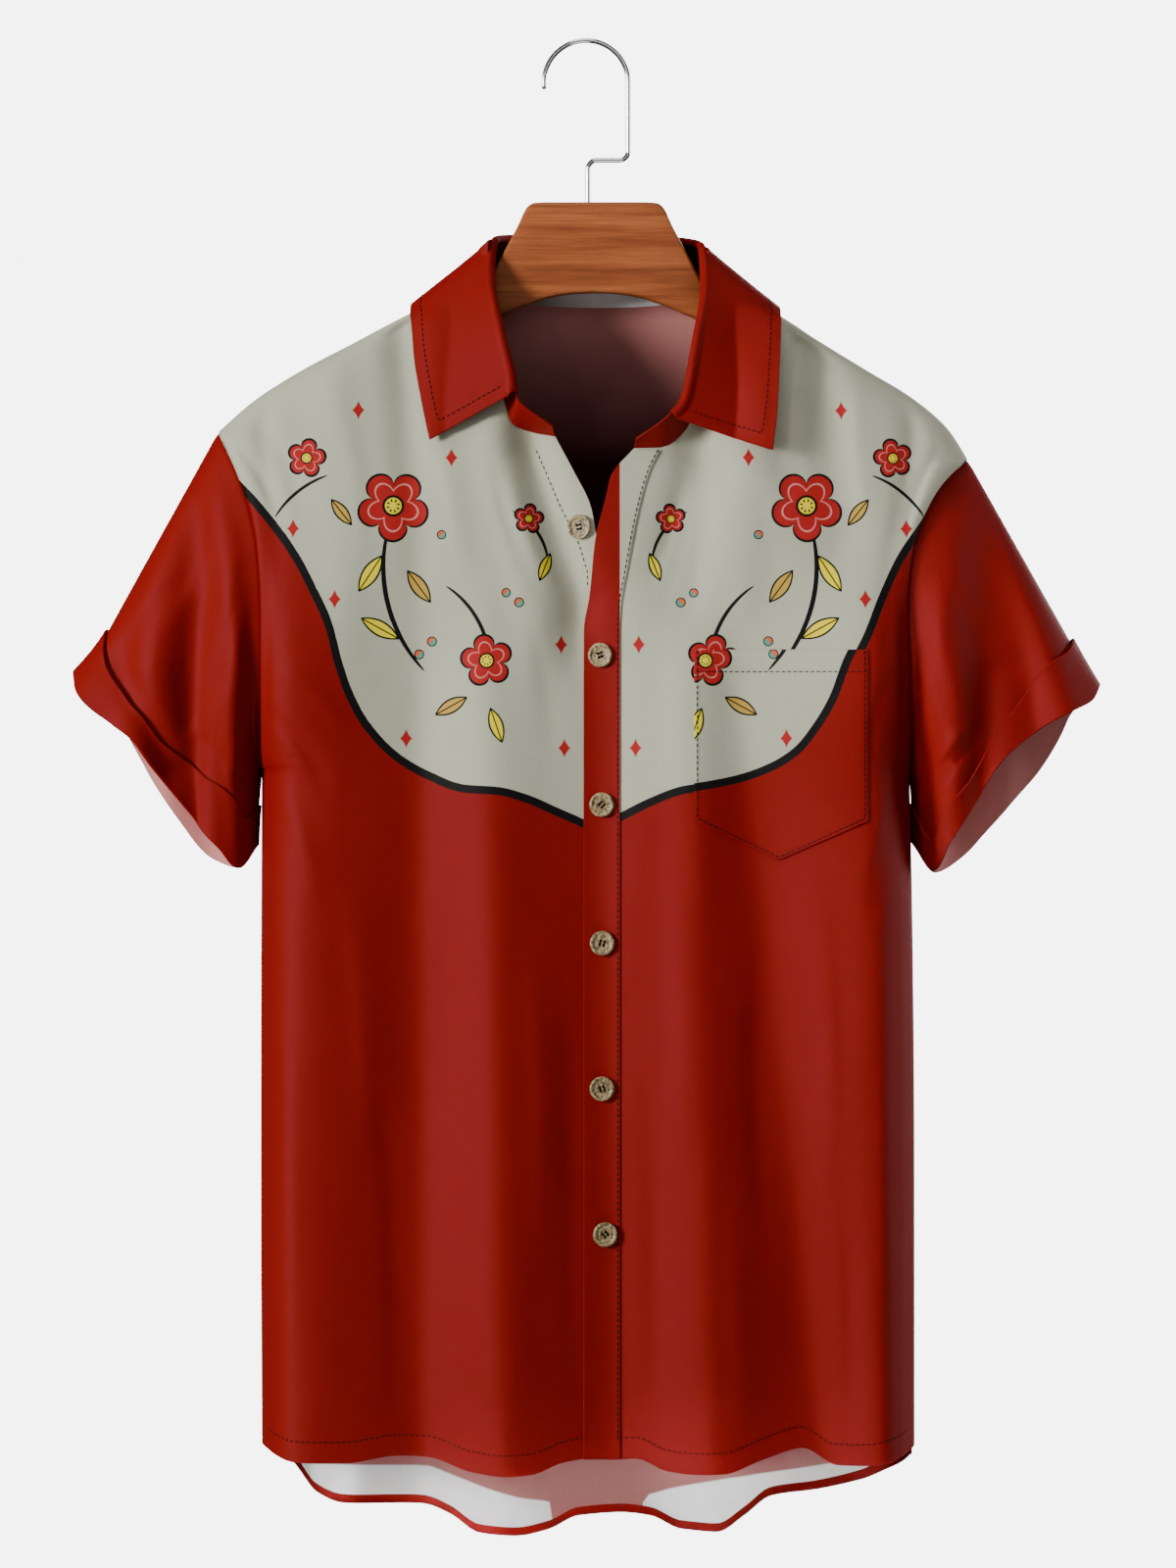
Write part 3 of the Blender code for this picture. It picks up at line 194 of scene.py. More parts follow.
# Finer creases: from x and height to x and height, sideways bend, width, depth, and how far it leans.
frontCreases = [
    (-222, -250, -190, -300, 3, 4, -1.6, 0.3), (-228, -262, -205, -318, -2, 3.5, 1.5, -0.3),
    (-205, -236, -176, -300, 4, 6, -1.4, 0.2), (-160, -215, -140, -330, 6, 7, 1, 0),
    (-100, -235, -78, -340, 4, 7, 1.2, 0.4), (-58, -262, -30, -345, -5, 5, -1.8, 0.5),
    (-48, -268, -16, -350, -6, 5, 1.6, -0.3), (-38, -350, -22, -450, 3, 6, -0.9, 0.2),
    (-192, -392, -150, -430, 4, 6, 1.3, 0.2), (-199, -420, -160, -470, 5, 5.5, -1.4, 0.3),
    (-196, -455, -168, -540, 5, 7, 1.4, 0), (-150, -520, -138, -700, 6, 10, 1.2, 0.3),
    (-84, -500, -78, -690, -4, 9, -1, 0.2), (-34, -560, -30, -760, 3, 8, 1.1, 0.3),
    (-128, -640, -120, -860, 4, 9, -1.2, 0.3), (-12, -600, -10, -840, 2, 6, -0.9, 0),
    (-62, -700, -60, -880, -3, 7, 0.9, 0.3), (-190, -600, -186, -840, 3, 7, 1, 0.2),
    (60, -268, 36, -345, 5, 5, -1.8, -0.5), (70, -262, 52, -360, 4, 6, 1.4, 0.3),
    (112, -225, 128, -330, -6, 8, 1.2, 0.2), (168, -212, 176, -300, -5, 6, 1.2, 0.3),
    (222, -252, 196, -318, -4, 4, -1.9, -0.3), (229, -268, 206, -330, 3, 3.5, 1.6, 0.3),
    (190, -395, 176, -440, -3, 5, -1.2, 0.2), (197, -430, 182, -500, -4, 5.5, 1.3, 0),
    (198, -462, 176, -560, -5, 6.5, -1.3, 0.2), (52, -520, 58, -700, 4, 9, 1.1, 0.3),
    (104, -560, 112, -760, -4, 8, -1.1, 0.3), (144, -540, 148, -720, 4, 8, 1.2, -0.3),
    (36, -640, 40, -860, 3, 7, -1.1, 0.2), (92, -700, 98, -880, -3, 8, 1, 0.3),
    (158, -700, 160, -880, 3, 6, -1, 0.2), (186, -560, 188, -800, -3, 7, 0.9, 0.2),
    (58, -580, 84, -588, 2, 2.6, -0.7, 0.2), (70, -612, 104, -602, -2, 3, 0.6, 0),
]
backCreases = [
    (-215, -262, -170, -330, 5, 5, -1.6, 0.3), (-200, -300, -165, -400, 6, 6, 1.4, 0),
    (-120, -230, -132, -360, 6, 8, 1.2, 0.3), (-52, -220, -64, -330, -4, 7, -1.1, 0.2),
    (-20, -240, -18, -380, 3, 8, 0.9, 0.2), (44, -222, 56, -340, 4, 7, -1.1, 0.3),
    (118, -232, 130, -350, -5, 8, 1.2, 0.2), (214, -280, 172, -345, -5, 5, -1.7, -0.3),
    (-196, -440, -160, -520, 6, 6, 1.4, 0.2), (-134, -480, -130, -690, 5, 9, -1.2, 0.3),
    (-66, -520, -70, -740, -4, 9, 1.1, 0.3), (4, -470, 6, -700, 4, 10, 1.2, 0.2),
    (76, -520, 80, -740, 4, 9, 1.1, -0.3), (144, -500, 146, -720, -5, 9, -1.2, 0.3),
    (198, -450, 166, -530, -6, 6, 1.4, 0.2), (-108, -700, -112, -910, 3, 8, 1.1, 0.3),
    (-50, -720, -52, -930, -3, 8, -1.1, 0.2), (28, -740, 30, -930, 3, 8, 1, 0.2),
    (96, -720, 98, -920, 4, 8, -1.2, 0.3), (156, -700, 158, -900, -3, 7, 1, 0.2),
]
sleeveCreases = [
    (-236, -262, -262, -372, 7, 6, 1.6, 0.3), (-226, -300, -240, -430, 5, 5, -1.7, 0.3),
    (-248, -330, -292, -392, -5, 6, -1.3, 0.2), (-212, -400, -226, -470, 4, 4, 1.4, 0),
    (-228, -402, -262, -448, 5, 5, 1.2, 0.2), (-262, -300, -300, -380, 5, 7, 1.1, 0),
    (240, -275, 258, -384, -6, 6, 1.6, 0.3), (222, -330, 232, -440, -5, 5, -1.6, 0.3),
    (214, -478, 250, -430, 3, 3, -2.2, 0.5), (208, -470, 246, -420, 4, 4, 1.8, 0.3),
    (262, -300, 296, -388, -5, 7, 1.1, 0.2), (240, -400, 286, -392, 5, 5, -1.2, 0.2),
]


# ---- curves and surfaces


def through(keys, values, at):    # a smooth curve that never swings past its points
    keys = np.asarray(keys, float)
    values = np.asarray(values, float)
    step = np.diff(keys)
    slope = np.diff(values) / step
    tangent = np.zeros(len(values))
    tangent[0], tangent[-1] = slope[0], slope[-1]
    for i in range(1, len(slope)):
        if slope[i - 1] * slope[i] > 0:
            near, far = 2 * step[i] + step[i - 1], step[i] + 2 * step[i - 1]
            tangent[i] = (near + far) / (near / slope[i - 1] + far / slope[i])
    at = np.clip(at, keys[0], keys[-1])
    i = np.clip(np.searchsorted(keys, at, side="right") - 1, 0, len(step) - 1)
    t = (at - keys[i]) / step[i]
    start = values[i] * (1 + 2 * t) * (1 - t) ** 2 + tangent[i] * step[i] * t * (1 - t) ** 2
    return start + values[i + 1] * t * t * (3 - 2 * t) + tangent[i + 1] * step[i] * t * t * (t - 1)


def column(rows, key, value, at):    # one column of a table, as a smooth curve over another
    rows = sorted(rows, key=lambda row: row[key])
    return through([row[key] for row in rows], [row[value] for row in rows], at)


def softStep(t):
    t = np.clip(t, 0, 1)
    return t * t * (3 - 2 * t)


def unit(vectors):
    return vectors / np.maximum(np.linalg.norm(vectors, axis=-1, keepdims=True), 1e-9)


def joined(*parts):    # coordinates side by side
    return np.stack(np.broadcast_arrays(*parts), axis=-1)


def tableAt(rows, values, at):    # several columns of a table, over its first one
    return joined(*[column(rows, 0, value, at) for value in values])


def wayAlong(line):    # how far each point of a line lies from its first, along the line
    return np.concatenate([[0], np.cumsum(np.linalg.norm(np.diff(line, axis=0), axis=1))])


def placed(name, data):    # a new object of this data, at the origin
    obj = bpy.data.objects.new(name, data)
    bpy.context.scene.collection.objects.link(obj)
    return obj


def closing(count, power=1.8):    # shares from 0 to 1 that lie closer and closer together
    return 1 - (1 - np.linspace(0, 1, count + 1)) ** power


def reach(half, z):    # the body's half width at a height
    tip = half["shoulder"][-1][1]
    low = column(half["side"], 0, 1, np.minimum(z, tip))
    high = column(half["shoulder"], 1, 0, np.maximum(z, tip))
    return np.where(z <= tip, low, high)


def holeDepth(half, z, depth):
    tip = half["shoulder"][-1][1]
    share = np.clip((z - cloth["armpit"]) / (tip - cloth["armpit"]), 0, 1)
    return depth * np.sin(np.arccos(1 - 2 * share)) ** section["holeRound"]


def softHole(half, z, depth):    # the same seam's depth, smoothed for the cloth beside it
    height, width = section["holeSoft"]
    offsets = np.linspace(-height, height, 13)
    weights = np.exp(-((offsets / width) ** 2))
    return sum(w * holeDepth(half, z + o, depth) for w, o in zip(weights, offsets)) / weights.sum()


def foldDepth(folds, x, z):
    total = np.zeros(np.broadcast(x, z).shape)
    for topZ, topX, lowZ, lowX, width, topDepth, lowDepth, lean in folds:
        share = np.clip((z - topZ) / (lowZ - topZ), 0, 1)
        middle = topX + (lowX - topX) * share
        depth = topDepth + (lowDepth - topDepth) * share ** section["foldGrow"]
        fade = 1 - softStep(np.maximum(z - topZ, lowZ - z) / section["foldFade"])
        side = width * np.where(x > middle, 1 + lean, 1 - lean)
        total = total + depth * fade * np.exp(-(((x - middle) / side) ** 2))
    return total


def drapeDepth(lines, x, z):    # straight between crest and valley, rounded where they turn
    share = np.clip((drape["from"] - z) / (drape["from"] - drape["to"]), 0, 1)
    grown = np.sqrt(share)
    places, depths, rounds = [], [], []
    for topX, topDepth, lowX, lowDepth, bend in lines:
        places.append(topX + (lowX - topX) * share)
        depths.append((topDepth + (lowDepth - topDepth) * grown) * softStep(share / section["drapeGrow"]))
        rounds.append(bend)
    spans = range(len(places) - 1)
    slopes = [(depths[i + 1] - depths[i]) / (places[i + 1] - places[i]) for i in spans]
    slopes = [0 * share] + slopes + [0 * share]
    total = 0.0
    for i, place in enumerate(places):
        turn = (slopes[i + 1] - slopes[i]) / 2
        total = total + turn * np.sqrt((x - place) ** 2 + rounds[i] ** 2)
    return total


def creaseDepth(creases, x, z):
    total = np.zeros(np.broadcast(x, z).shape)
    for fromX, fromZ, toX, toZ, bend, width, depth, lean in creases:
        length = math.hypot(toX - fromX, toZ - fromZ)
        alongX, alongZ = (toX - fromX) / length, (toZ - fromZ) / length
        t = np.clip(((x - fromX) * alongX + (z - fromZ) * alongZ) / length, 0, 1)
        off = (x - fromX) * -alongZ + (z - fromZ) * alongX - bend * 4 * t * (1 - t)
        side = width * np.where(off > 0, 1 + lean, 1 - lean)
        total = total + depth * np.sin(math.pi * t) ** section["creaseFade"] * np.exp(-((off / side) ** 2))
    return total


def unevenness(x, z):    # cloth is never quite even
    waves = 0.30 * np.sin(x / 17.0 + 1.3 * np.sin(z / 61.0)) * np.sin(z / 43.0 + 0.6)
    waves = waves + 0.16 * np.sin(x / 7.3 + z / 31.0) * np.sin(z / 19.0 - x / 37.0 + 2.0)
    return waves + 0.35 * np.sin(x / 29.0 - z / 83.0 + 0.9)


def bodyDepth(x, z, front):
    x, z = np.asarray(x, float), np.asarray(z, float)
    depth = column(bodyDepths, 0, 1 if front else 2, z)
    folds = foldDepth(frontFolds if front else backFolds, x, z)
    long = drapeDepth(drape["front" if front else "back"], x, z)
    creases = creaseDepth(frontCreases if front else backCreases, x, z) + unevenness(x, z + 9 * front)
    found = np.zeros(np.broadcast(x, z).shape)
    for half in (rightHalf, leftHalf):
        mine = (x >= 0) == (half["sign"] > 0)
        share = np.clip(np.abs(x) / reach(half, z), 0, 1)
        deep = half["holeFront" if front else "holeBack"]
        beside = softStep((share - 1 + section["holeBeside"]) / section["holeBeside"])
        hole = softHole(half, z, deep) * (1 - beside) + holeDepth(half, z, deep) * beside
        hole = np.minimum(hole, depth)
        squarer = softStep((section["squareFrom"] - z) / section["squareOver"])
        power = cloth["round"] + half["boxy"] * front * squarer
        cap = (1 - share ** power) ** (1 / power)
        total = hole + (depth - hole) * cap
        for part, over in ((folds, "foldOver"), (creases, "fineOver"), (long, "drapeOver")):
            total = total + part * softStep((1 - share) / section[over])
        found = np.where(mine, total, found)
    return found


def holePoint(half, angle):    # the armhole seam: from the armpit up the front and down the back
    tip = half["shoulder"][-1][1]
    z = cloth["armpit"] + (tip - cloth["armpit"]) * (1 - np.cos(angle)) / 2
    x = half["sign"] * column(half["side"], 0, 1, z)
    before, behind = -holeDepth(half, z, half["holeFront"]), holeDepth(half, z, half["holeBack"])
    return joined(x, np.where(np.asarray(angle) <= math.pi, before, behind), z)


def patch(bottom, top, start, end, across, up):
    s, f = across[None, :, None], up[:, None, None]
    corners = (1 - s) * (1 - f) * bottom[0] + s * (1 - f) * bottom[-1]
    corners = corners + (1 - s) * f * top[0] + s * f * top[-1]
    return (1 - f) * bottom[None] + f * top[None] + (1 - s) * start[:, None] + s * end[:, None] - corners


def gridNormals(points, closed=False):
    if closed:
        across = (np.roll(points, -1, axis=1) - np.roll(points, 1, axis=1)) / 2
    else:
        across = np.gradient(points, axis=1)
    return unit(np.cross(across, np.gradient(points, axis=0)))


def facing(points, toward, closed=False):
    normals = gridNormals(points, closed)
    return normals * np.sign((normals * toward).sum())


def alongCurve(rows, shares):
    corners = np.array(rows, float)
    way = wayAlong(corners)
    return joined(*[through(way, corners[:, i], shares * way[-1]) for i in range(2)])


# ---- the body's grids, finer than the frame's and with the same seams

grid = {
    "holeRows": 78,          # from the armpit to the shoulder
    "neckColumns": 42,       # along each side of the front neckline
    "lapSpans": 4,           # in each half of the lap
    "frontColumns": 90,
    "backNeck": 50,
    "backShoulder": 55,
    "hemRows": [0, 0.0035, 0.008, 0.016, 0.024, 0.028, 0.0305, 0.033, 0.038, 0.045],
    "lowRows": 84,
    "sleeveRings": 54,
    "cuffRings": 18,
    "standRows": 12,
    "leafRows": 40,
}
evenRows = grid["lowRows"] - len(grid["hemRows"])
lowShares = np.concatenate([grid["hemRows"], np.linspace(0.05, 1, evenRows + 1)])
neckRow = grid["lowRows"] + grid["holeRows"] - grid["neckColumns"]


def planColumns(start, width, count):
    return width * np.sin(np.linspace(math.asin(start / width), math.pi / 2, count + 1))


def holePlan(half):
    return holePoint(half, np.linspace(0, math.pi, grid["holeRows"] + 1))[:, [0, 2]]


def shoulderPlan(half, count):
    return alongCurve(half["shoulder"], np.linspace(0, 1, count + 1)) * np.array([half["sign"], 1])


widening = {"from": 60.0, "over": 120.0}


def widened(low):    # the rows under the armpit follow the side seam out
    x, z = low[..., 0], low[..., 1]
    right, left = (reach(half, z) / half["side"][2][1] for half in (rightHalf, leftHalf))
    grow = np.where(x < 0, right, left) - 1
    return joined(x * (1 + grow * softStep((np.abs(x) - widening["from"]) / widening["over"])), z)


def lowPart(x, hem):
    ends = joined(x, column(hem, 0, 1, x))
    waist = joined(x, cloth["armpit"])
    up = lowShares[:-1, None, None]
    return widened((1 - up) * ends + up * waist), waist


def frontPlan(half):    # (x, height), from the hem up and from the front edge out
    near, far = leftHalf["edge"][0][1], bandEdge[0][1]
    middle, spans = (near + far) / 2, grid["lapSpans"]
    under = [near, middle, far] if half["sign"] > 0 else [rightHalf["edge"][0][1], middle, near]
    lapX = np.interp(np.linspace(0, 2, 2 * spans + 1), [0, 1, 2], under)
    rest = planColumns(under[2] * half["sign"], half["side"][2][1], grid["frontColumns"] - 2 * spans)[1:]
    x = np.concatenate([lapX, rest * half["sign"]])
    low, waist = lowPart(x, frontHem)
    neck = alongCurve(half["neck"], closing(grid["neckColumns"]))
    height = np.linspace(cloth["armpit"], neck[0, 1], grid["holeRows"] - grid["neckColumns"] + 1)
    edge = joined(column(half["edge"], 0, 1, height), height)
    start = np.concatenate([edge, neck[1:]])
    across = np.linspace(0, 1, grid["frontColumns"] + 1)
    top = shoulderPlan(half, grid["frontColumns"])
    high = patch(waist, top, start, holePlan(half), across, closing(grid["holeRows"]))
    return np.concatenate([low, high])


def backPlan():
    middle = grid["backNeck"] // 2 + grid["backShoulder"]
    right = -planColumns(0, rightHalf["side"][2][1], middle)[::-1]
    x = np.concatenate([right, planColumns(0, leftHalf["side"][2][1], middle)[1:]])
    low, waist = lowPart(x, backHem)
    near = shoulderPlan(rightHalf, grid["backShoulder"])
    far = shoulderPlan(leftHalf, grid["backShoulder"])
    turn = np.linspace(-math.pi / 2, math.pi / 2, grid["backNeck"] + 1)
    dip = backNeckDip * np.maximum(np.cos(turn), 0) ** 0.8
    neck = near[0] + (far[0] - near[0]) * ((1 + np.sin(turn)) / 2)[:, None] - joined(0 * dip, dip)
    top = np.concatenate([near[::-1], neck[1:-1], far])
    across = np.linspace(0, 1, 2 * middle + 1)
    high = patch(waist, top, holePlan(rightHalf), holePlan(leftHalf), across, closing(grid["holeRows"]))
    return np.concatenate([low, high])


lap = {"lift": 1.7, "edge": 48.0, "width": 24.0, "top": -270.0, "height": 40.0}


def lapLift(x, z):    # how far the left front lies before the right one
    across = softStep((lap["edge"] - x) / lap["width"])
    return lap["lift"] * across * softStep((lap["top"] - z) / lap["height"])


def frontSurface(half):
    plan = frontPlan(half)
    x, z = plan[..., 0], plan[..., 1]
    depth = bodyDepth(x, z, True)
    depth[-1] = 0    # the shoulder seam lies in the hanger's plane
    lift = lapLift(x, z) if half["sign"] > 0 else 0
    return joined(x, -depth - lift, z)


def backSurface():
    plan = backPlan()
    x, z = plan[..., 0], plan[..., 1]
    depth = bodyDepth(x, z, False)
    depth[-1, :grid["backShoulder"] + 1] = 0
    depth[-1, -grid["backShoulder"] - 1:] = 0
    return joined(x, depth, z)


cuff = {
    "topWidth": 30.0, "underWidth": 38.0, "backWidth": 34.0, "blend": 0.12, "wall": 1.5,
    "bell": 1.2, "bellPower": 1.5,       # how far the end stands out all round
    "flareFrom": 0.55, "flareOver": 0.4,    # and where a half's own flare comes in, towards the top
    "closeIn": 0.45, "follow": 0.75,     # the band draws in to its end, and the sleeve follows it
}
sleeve = {"swell": 0.85, "early": 0.3, "foldsIn": 0.3, "uneven": 0.8, "cuffEven": 0.6}
# share of the way from the armpit to the top, the band's width in front and how far it stands off
rightHalf["cuffBand"] = [
    (0, 14, 1.4), (0.05, 28, 1.6), (0.11, 35, 1.8), (0.28, 28, 2.2), (0.55, 17.6, 3.0), (0.69, 16.5, 4.2),
    (0.81, 20, 4.6), (0.93, 26, 3.6), (1, 29, 2.0),
]
leftHalf["cuffBand"] = [
    (0, 14, 1.4), (0.05, 14, 1.6), (0.14, 17.5, 2.0), (0.30, 15.5, 2.4), (0.43, 15.7, 2.6),
    (0.565, 18.6, 2.8),
    (0.68, 24, 3.0), (0.79, 29.5, 3.2), (0.895, 33, 3.4), (1, 31, 3.2),
]


def twoRuns(first, middle, last):
    sleeve = np.linspace(first, middle, grid["sleeveRings"] + 1)
    return np.concatenate([sleeve, np.linspace(middle, last, grid["cuffRings"] + 1)[1:]])


def sleeveSurface(half):    # rings from the armhole to the sleeve's end
    angle = np.linspace(0, 2 * math.pi, 2 * grid["holeRows"] + 1)[:-1]
    rise, front = (1 - np.cos(angle)) / 2, angle < math.pi
    swell = np.abs(np.sin(angle)) ** sleeve["swell"]
    hole = holePoint(half, angle)
    top, low = np.array(half["rimFront"][-1][1:]), np.array(half["rimFront"][0][1:])
    ends = [tableAt(half[key], (1, 2), rise) for key in ("rimFront", "rimRear")]
    rim = np.where(front[:, None], *ends) - (low + (top - low) * rise[:, None])
    tip, armpit = hole[grid["holeRows"], [0, 2]], hole[0, [0, 2]]
    cuffTip = top + cuff["topWidth"] * unit(tip - top)
    cuffArmpit = low + cuff["underWidth"] * unit(armpit - low)
    rings = []
    ways = zip(twoRuns(armpit, cuffArmpit, low), twoRuns(tip, cuffTip, top))
    for i, (lowEnd, topEnd) in enumerate(ways):
        share = min(i / grid["sleeveRings"], 1)
        past = max(i - grid["sleeveRings"], 0) / grid["cuffRings"]
        shaped = sleeve["early"] * share ** 2 + (1 - sleeve["early"]) * softStep(past)
        line = lowEnd + (topEnd - lowEnd) * rise[:, None] + rim * shaped
        x, z = line[:, 0], line[:, 1]
        before = -(half["holeFront"] + (half["cuffDepth"] - half["holeFront"]) * share)
        behind = half["holeBack"] + (half["cuffDepth"] - half["holeBack"]) * share
        fine = creaseDepth(sleeveCreases, np.where(front, x, -x), z) + sleeve["uneven"] * unevenness(x, z)
        inFront = foldDepth(half["sleeveFolds"], x, z)
        inBack = foldDepth(sleeveBackFolds, np.abs(x), z)
        folded = np.where(front, -inFront, inBack)
        folded = folded + np.where(front, -fine, fine) * (1 - sleeve["cuffEven"] * softStep(past * 3))
        y = np.where(front, before, behind) * swell + folded * softStep(share / sleeve["foldsIn"]) * swell
        chord = armpit + (tip - armpit) * rise[:, None]
        chordDepth = np.where(front, -half["holeFront"], half["holeBack"]) * swell
        flat = joined(chord[:, 0], chordDepth, chord[:, 1])
        rings.append(joined(x, y, z) + (hole - flat) * (1 - share) ** 2)
    rings = np.array(rings)
    before, behind = column(half["cuffBand"], 0, 1, rise), cuff["backWidth"]
    smooth = softStep(np.minimum(rise, 1 - rise) / cuff["blend"])
    band = np.where(front, before, behind) * smooth + (before + behind) / 2 * (1 - smooth)
    steps = np.linalg.norm(np.diff(rings, axis=0), axis=-1)
    travelled = np.concatenate([np.zeros((1, len(angle))), np.cumsum(steps, axis=0)])
    for i in range(len(angle)):    # the sleeve's rings reach to the cuff's edge
        whole = travelled[-1, i]
        at = twoRuns(0.0, whole - band[i], whole)
        rings[:, i] = joined(*[np.interp(at, travelled[:, i], rings[:, i, k]) for k in range(3)])
    return rings


collar = {
    "frontShare": 0.583,     # of the way from the front edge to the middle of the back, at the shoulder
    "leafFrom": 6,           # columns of the stand left free before the leaf starts
    "leafLift": (2.4, 5.0, 11.0),    # off the cloth at the neck, and more at the right and left edges
    "gap": 0.3,
    # the stand's top edge: share of the way round, x, y, height
    "rightStand": [
        (0.00, -21.5, -47.5, -243.5), (0.13, -43.6, -49.5, -225), (0.20, -45.0, -47.0, -214),
        (0.32, -52.0, -39.0, -184), (0.46, -58.5, -20.0, -149), (0.60, -56.5, -1.0, -125),
        (0.72, -47.0, 17.0, -122), (0.84, -26.0, 30.0, -120.5), (1.00, 7.0, 36.0, -120),
    ],
    "leftStand": [
        (0.00, 30.5, -47.5, -251), (0.13, 51.0, -50.0, -236), (0.20, 58.0, -48.0, -228),
        (0.32, 65.5, -39.5, -194), (0.46, 71.5, -21.0, -155), (0.60, 70.5, -1.0, -129),
        (0.72, 61.0, 17.0, -124), (0.84, 40.0, 30.0, -121), (1.00, 7.0, 36.0, -120),
    ],
    # the leaf's outer edge, and the radius it rolls over
    "rightLeaf": [
        (0.19, -97.5, -44, -250.5, 3.6), (0.30, -102.5, -36, -227, 3.2), (0.40, -107.5, -26, -199, 2.8),
        (0.49, -109.5, -19, -177, 2.7), (0.53, -110.5, -11, -166.5, 2.6), (0.583, -110.0, 0, -163, 2.6),
        (0.66, -95.0, 27, -160, 2.6), (0.80, -53.0, 46, -163, 2.6), (1.00, 7.0, 52, -167, 2.6),
    ],
    "leftLeaf": [
        (0.19, 114.5, -44, -257.5, 3.6), (0.30, 117.5, -36, -232, 3.2), (0.40, 119.0, -26, -206, 2.8),
        (0.49, 120.5, -19, -180, 2.7), (0.53, 121.0, -11, -168.5, 2.6), (0.583, 120.5, 0, -165, 2.6),
        (0.66, 106.0, 26, -161, 2.6), (0.80, 65.0, 46, -163, 2.6), (1.00, 7.0, 52, -167, 2.6),
    ],
}


def standShares():
    front = collar["frontShare"] * closing(grid["neckColumns"])
    return np.concatenate([front, np.linspace(collar["frontShare"], 1, grid["backNeck"] // 2 + 1)[1:]])


def neckRing():
    first = grid["backShoulder"]
    back = backSurface()[-1, first:first + grid["backNeck"] + 1]
    right, left = frontSurface(rightHalf)[neckRow:-1, 0], frontSurface(leftHalf)[neckRow:-1, 0]
    return np.concatenate([right, back, left[::-1]])


def bothSides(right, left, count):    # two tables, of the right and the left side, as one run
    right, left = (tableAt(collar[key], range(1, count), standShares()) for key in (right, left))
    return np.concatenate([right, left[::-1][1:]])


def standSurface():
    top = bothSides("rightStand", "leftStand", 4)
    up = np.linspace(0, 1, grid["standRows"] + 1)[:, None, None]
    return (1 - up) * neckRing() + up * top


def standNormals():
    points = standSurface()
    return facing(points, (points - np.array([cloth["centre"], 0, 0])) * np.array([1, 1, 0]))


def clearOfBody(points, out):
    x, y, z = points.T
    over = np.abs(x) < np.where(x < 0, reach(rightHalf, z), reach(leftHalf, z))
    near, right, left = collar["leafLift"]
    lift = near + np.where(x < 0, right, left) * out ** 2
    front = bodyDepth(x, z, True) + lift
    behind = bodyDepth(x, z, False) + near
    y = np.where(over & (y < 0), np.minimum(y, -front), y)
    y = np.where(over & (y > 0), np.maximum(y, behind), y)
    return joined(x, y, z)


# ---- where two walls meet


def bodyNormals(half):
    return facing(frontSurface(half), (0, -1, 0))


def backNormals():
    return facing(backSurface(), (0, 1, 0))


def mitre(first, second, line, toward):
    wall = unit(first + second)
    stretch = 1 / np.maximum((wall * first).sum(axis=-1, keepdims=True), 0.8)
    across = unit(np.cross(np.gradient(line, axis=0), wall))
    across = across * np.sign((across * toward).sum(axis=-1, keepdims=True))
    return wall * stretch, across * cloth["seam"]


def holeSeam(half):
    front = bodyNormals(half)[grid["lowRows"]:, -1]
    back = backNormals()[grid["lowRows"]:, 0 if half["sign"] < 0 else -1]
    ends = unit(front[[0, -1]] + back[[0, -1]])
    body = np.concatenate([ends[:1], front[1:-1], ends[1:], back[-2:0:-1]])
    rings = sleeveSurface(half)
    sleeve = facing(rings, rings - rings.mean(axis=1, keepdims=True), closed=True)[0]
    sleeve[[0, grid["holeRows"]], 1] = 0
    body[[0, grid["holeRows"]], 1] = 0
    count = len(body)
    line = np.concatenate([rings[0]] * 3)
    wall, across = mitre(
        np.tile(unit(body), (3, 1)), np.tile(unit(sleeve), (3, 1)), line, np.array([half["sign"], 0, 0])
    )
    return wall[count:2 * count], across[count:2 * count]


def neckSeam():
    first = grid["backShoulder"]
    back = backNormals()[-1, first:first + grid["backNeck"] + 1]
    right, left = bodyNormals(rightHalf)[neckRow:-1, 0], bodyNormals(leftHalf)[neckRow:-1, 0]
    body = np.concatenate([right, back, left[::-1]])
    stand = standNormals()[0]
    points = standSurface()
    for i in (grid["neckColumns"], grid["neckColumns"] + grid["backNeck"]):
        body[i, 1] = 0
        stand[i, 1] = 0
    return mitre(unit(body), unit(stand), points[0], points[1] - points[0])


def shoulderWall(plan):
    line = np.gradient(plan, axis=0)
    across = unit(joined(-line[:, 1], 0, line[:, 0]))
    return across * np.sign(across[:, 2:])


# ---- turning grids into closed shells


def sinkBeside(points, normals, rows=(), columns=(), off=0.0):    # cloth dips beside a sewn seam
    width = cloth["sinkWidth" if off == 0 else "stitchWidth"]
    for take in [lambda grid, row=row: grid[row][None] for row in rows] + [
        lambda grid, side=side: grid[:, side][:, None] for side in columns
    ]:
        gap = np.linalg.norm(points - take(points), axis=-1) - off
        points = points - normals * (cloth["seamSink"] * np.exp(-((gap / width) ** 2)))[..., None]
    return points


def borderLoops(rows, columns, closed):
    if closed:
        first = [(0, c) for c in range(columns)]
        last = [(rows - 1, c) for c in reversed(range(columns))]
        return [(first, [(1, c) for r, c in first]), (last, [(rows - 2, c) for r, c in last])]
    loop = [(0, c) for c in range(columns)] + [(r, columns - 1) for r in range(1, rows)]
    loop += [(rows - 1, c) for c in reversed(range(columns - 1))]
    loop += [(r, 0) for r in range(rows - 2, 0, -1)]
    inside = [(min(max(r, 1), rows - 2), min(max(c, 1), columns - 2)) for r, c in loop]
    return [(loop, inside)]


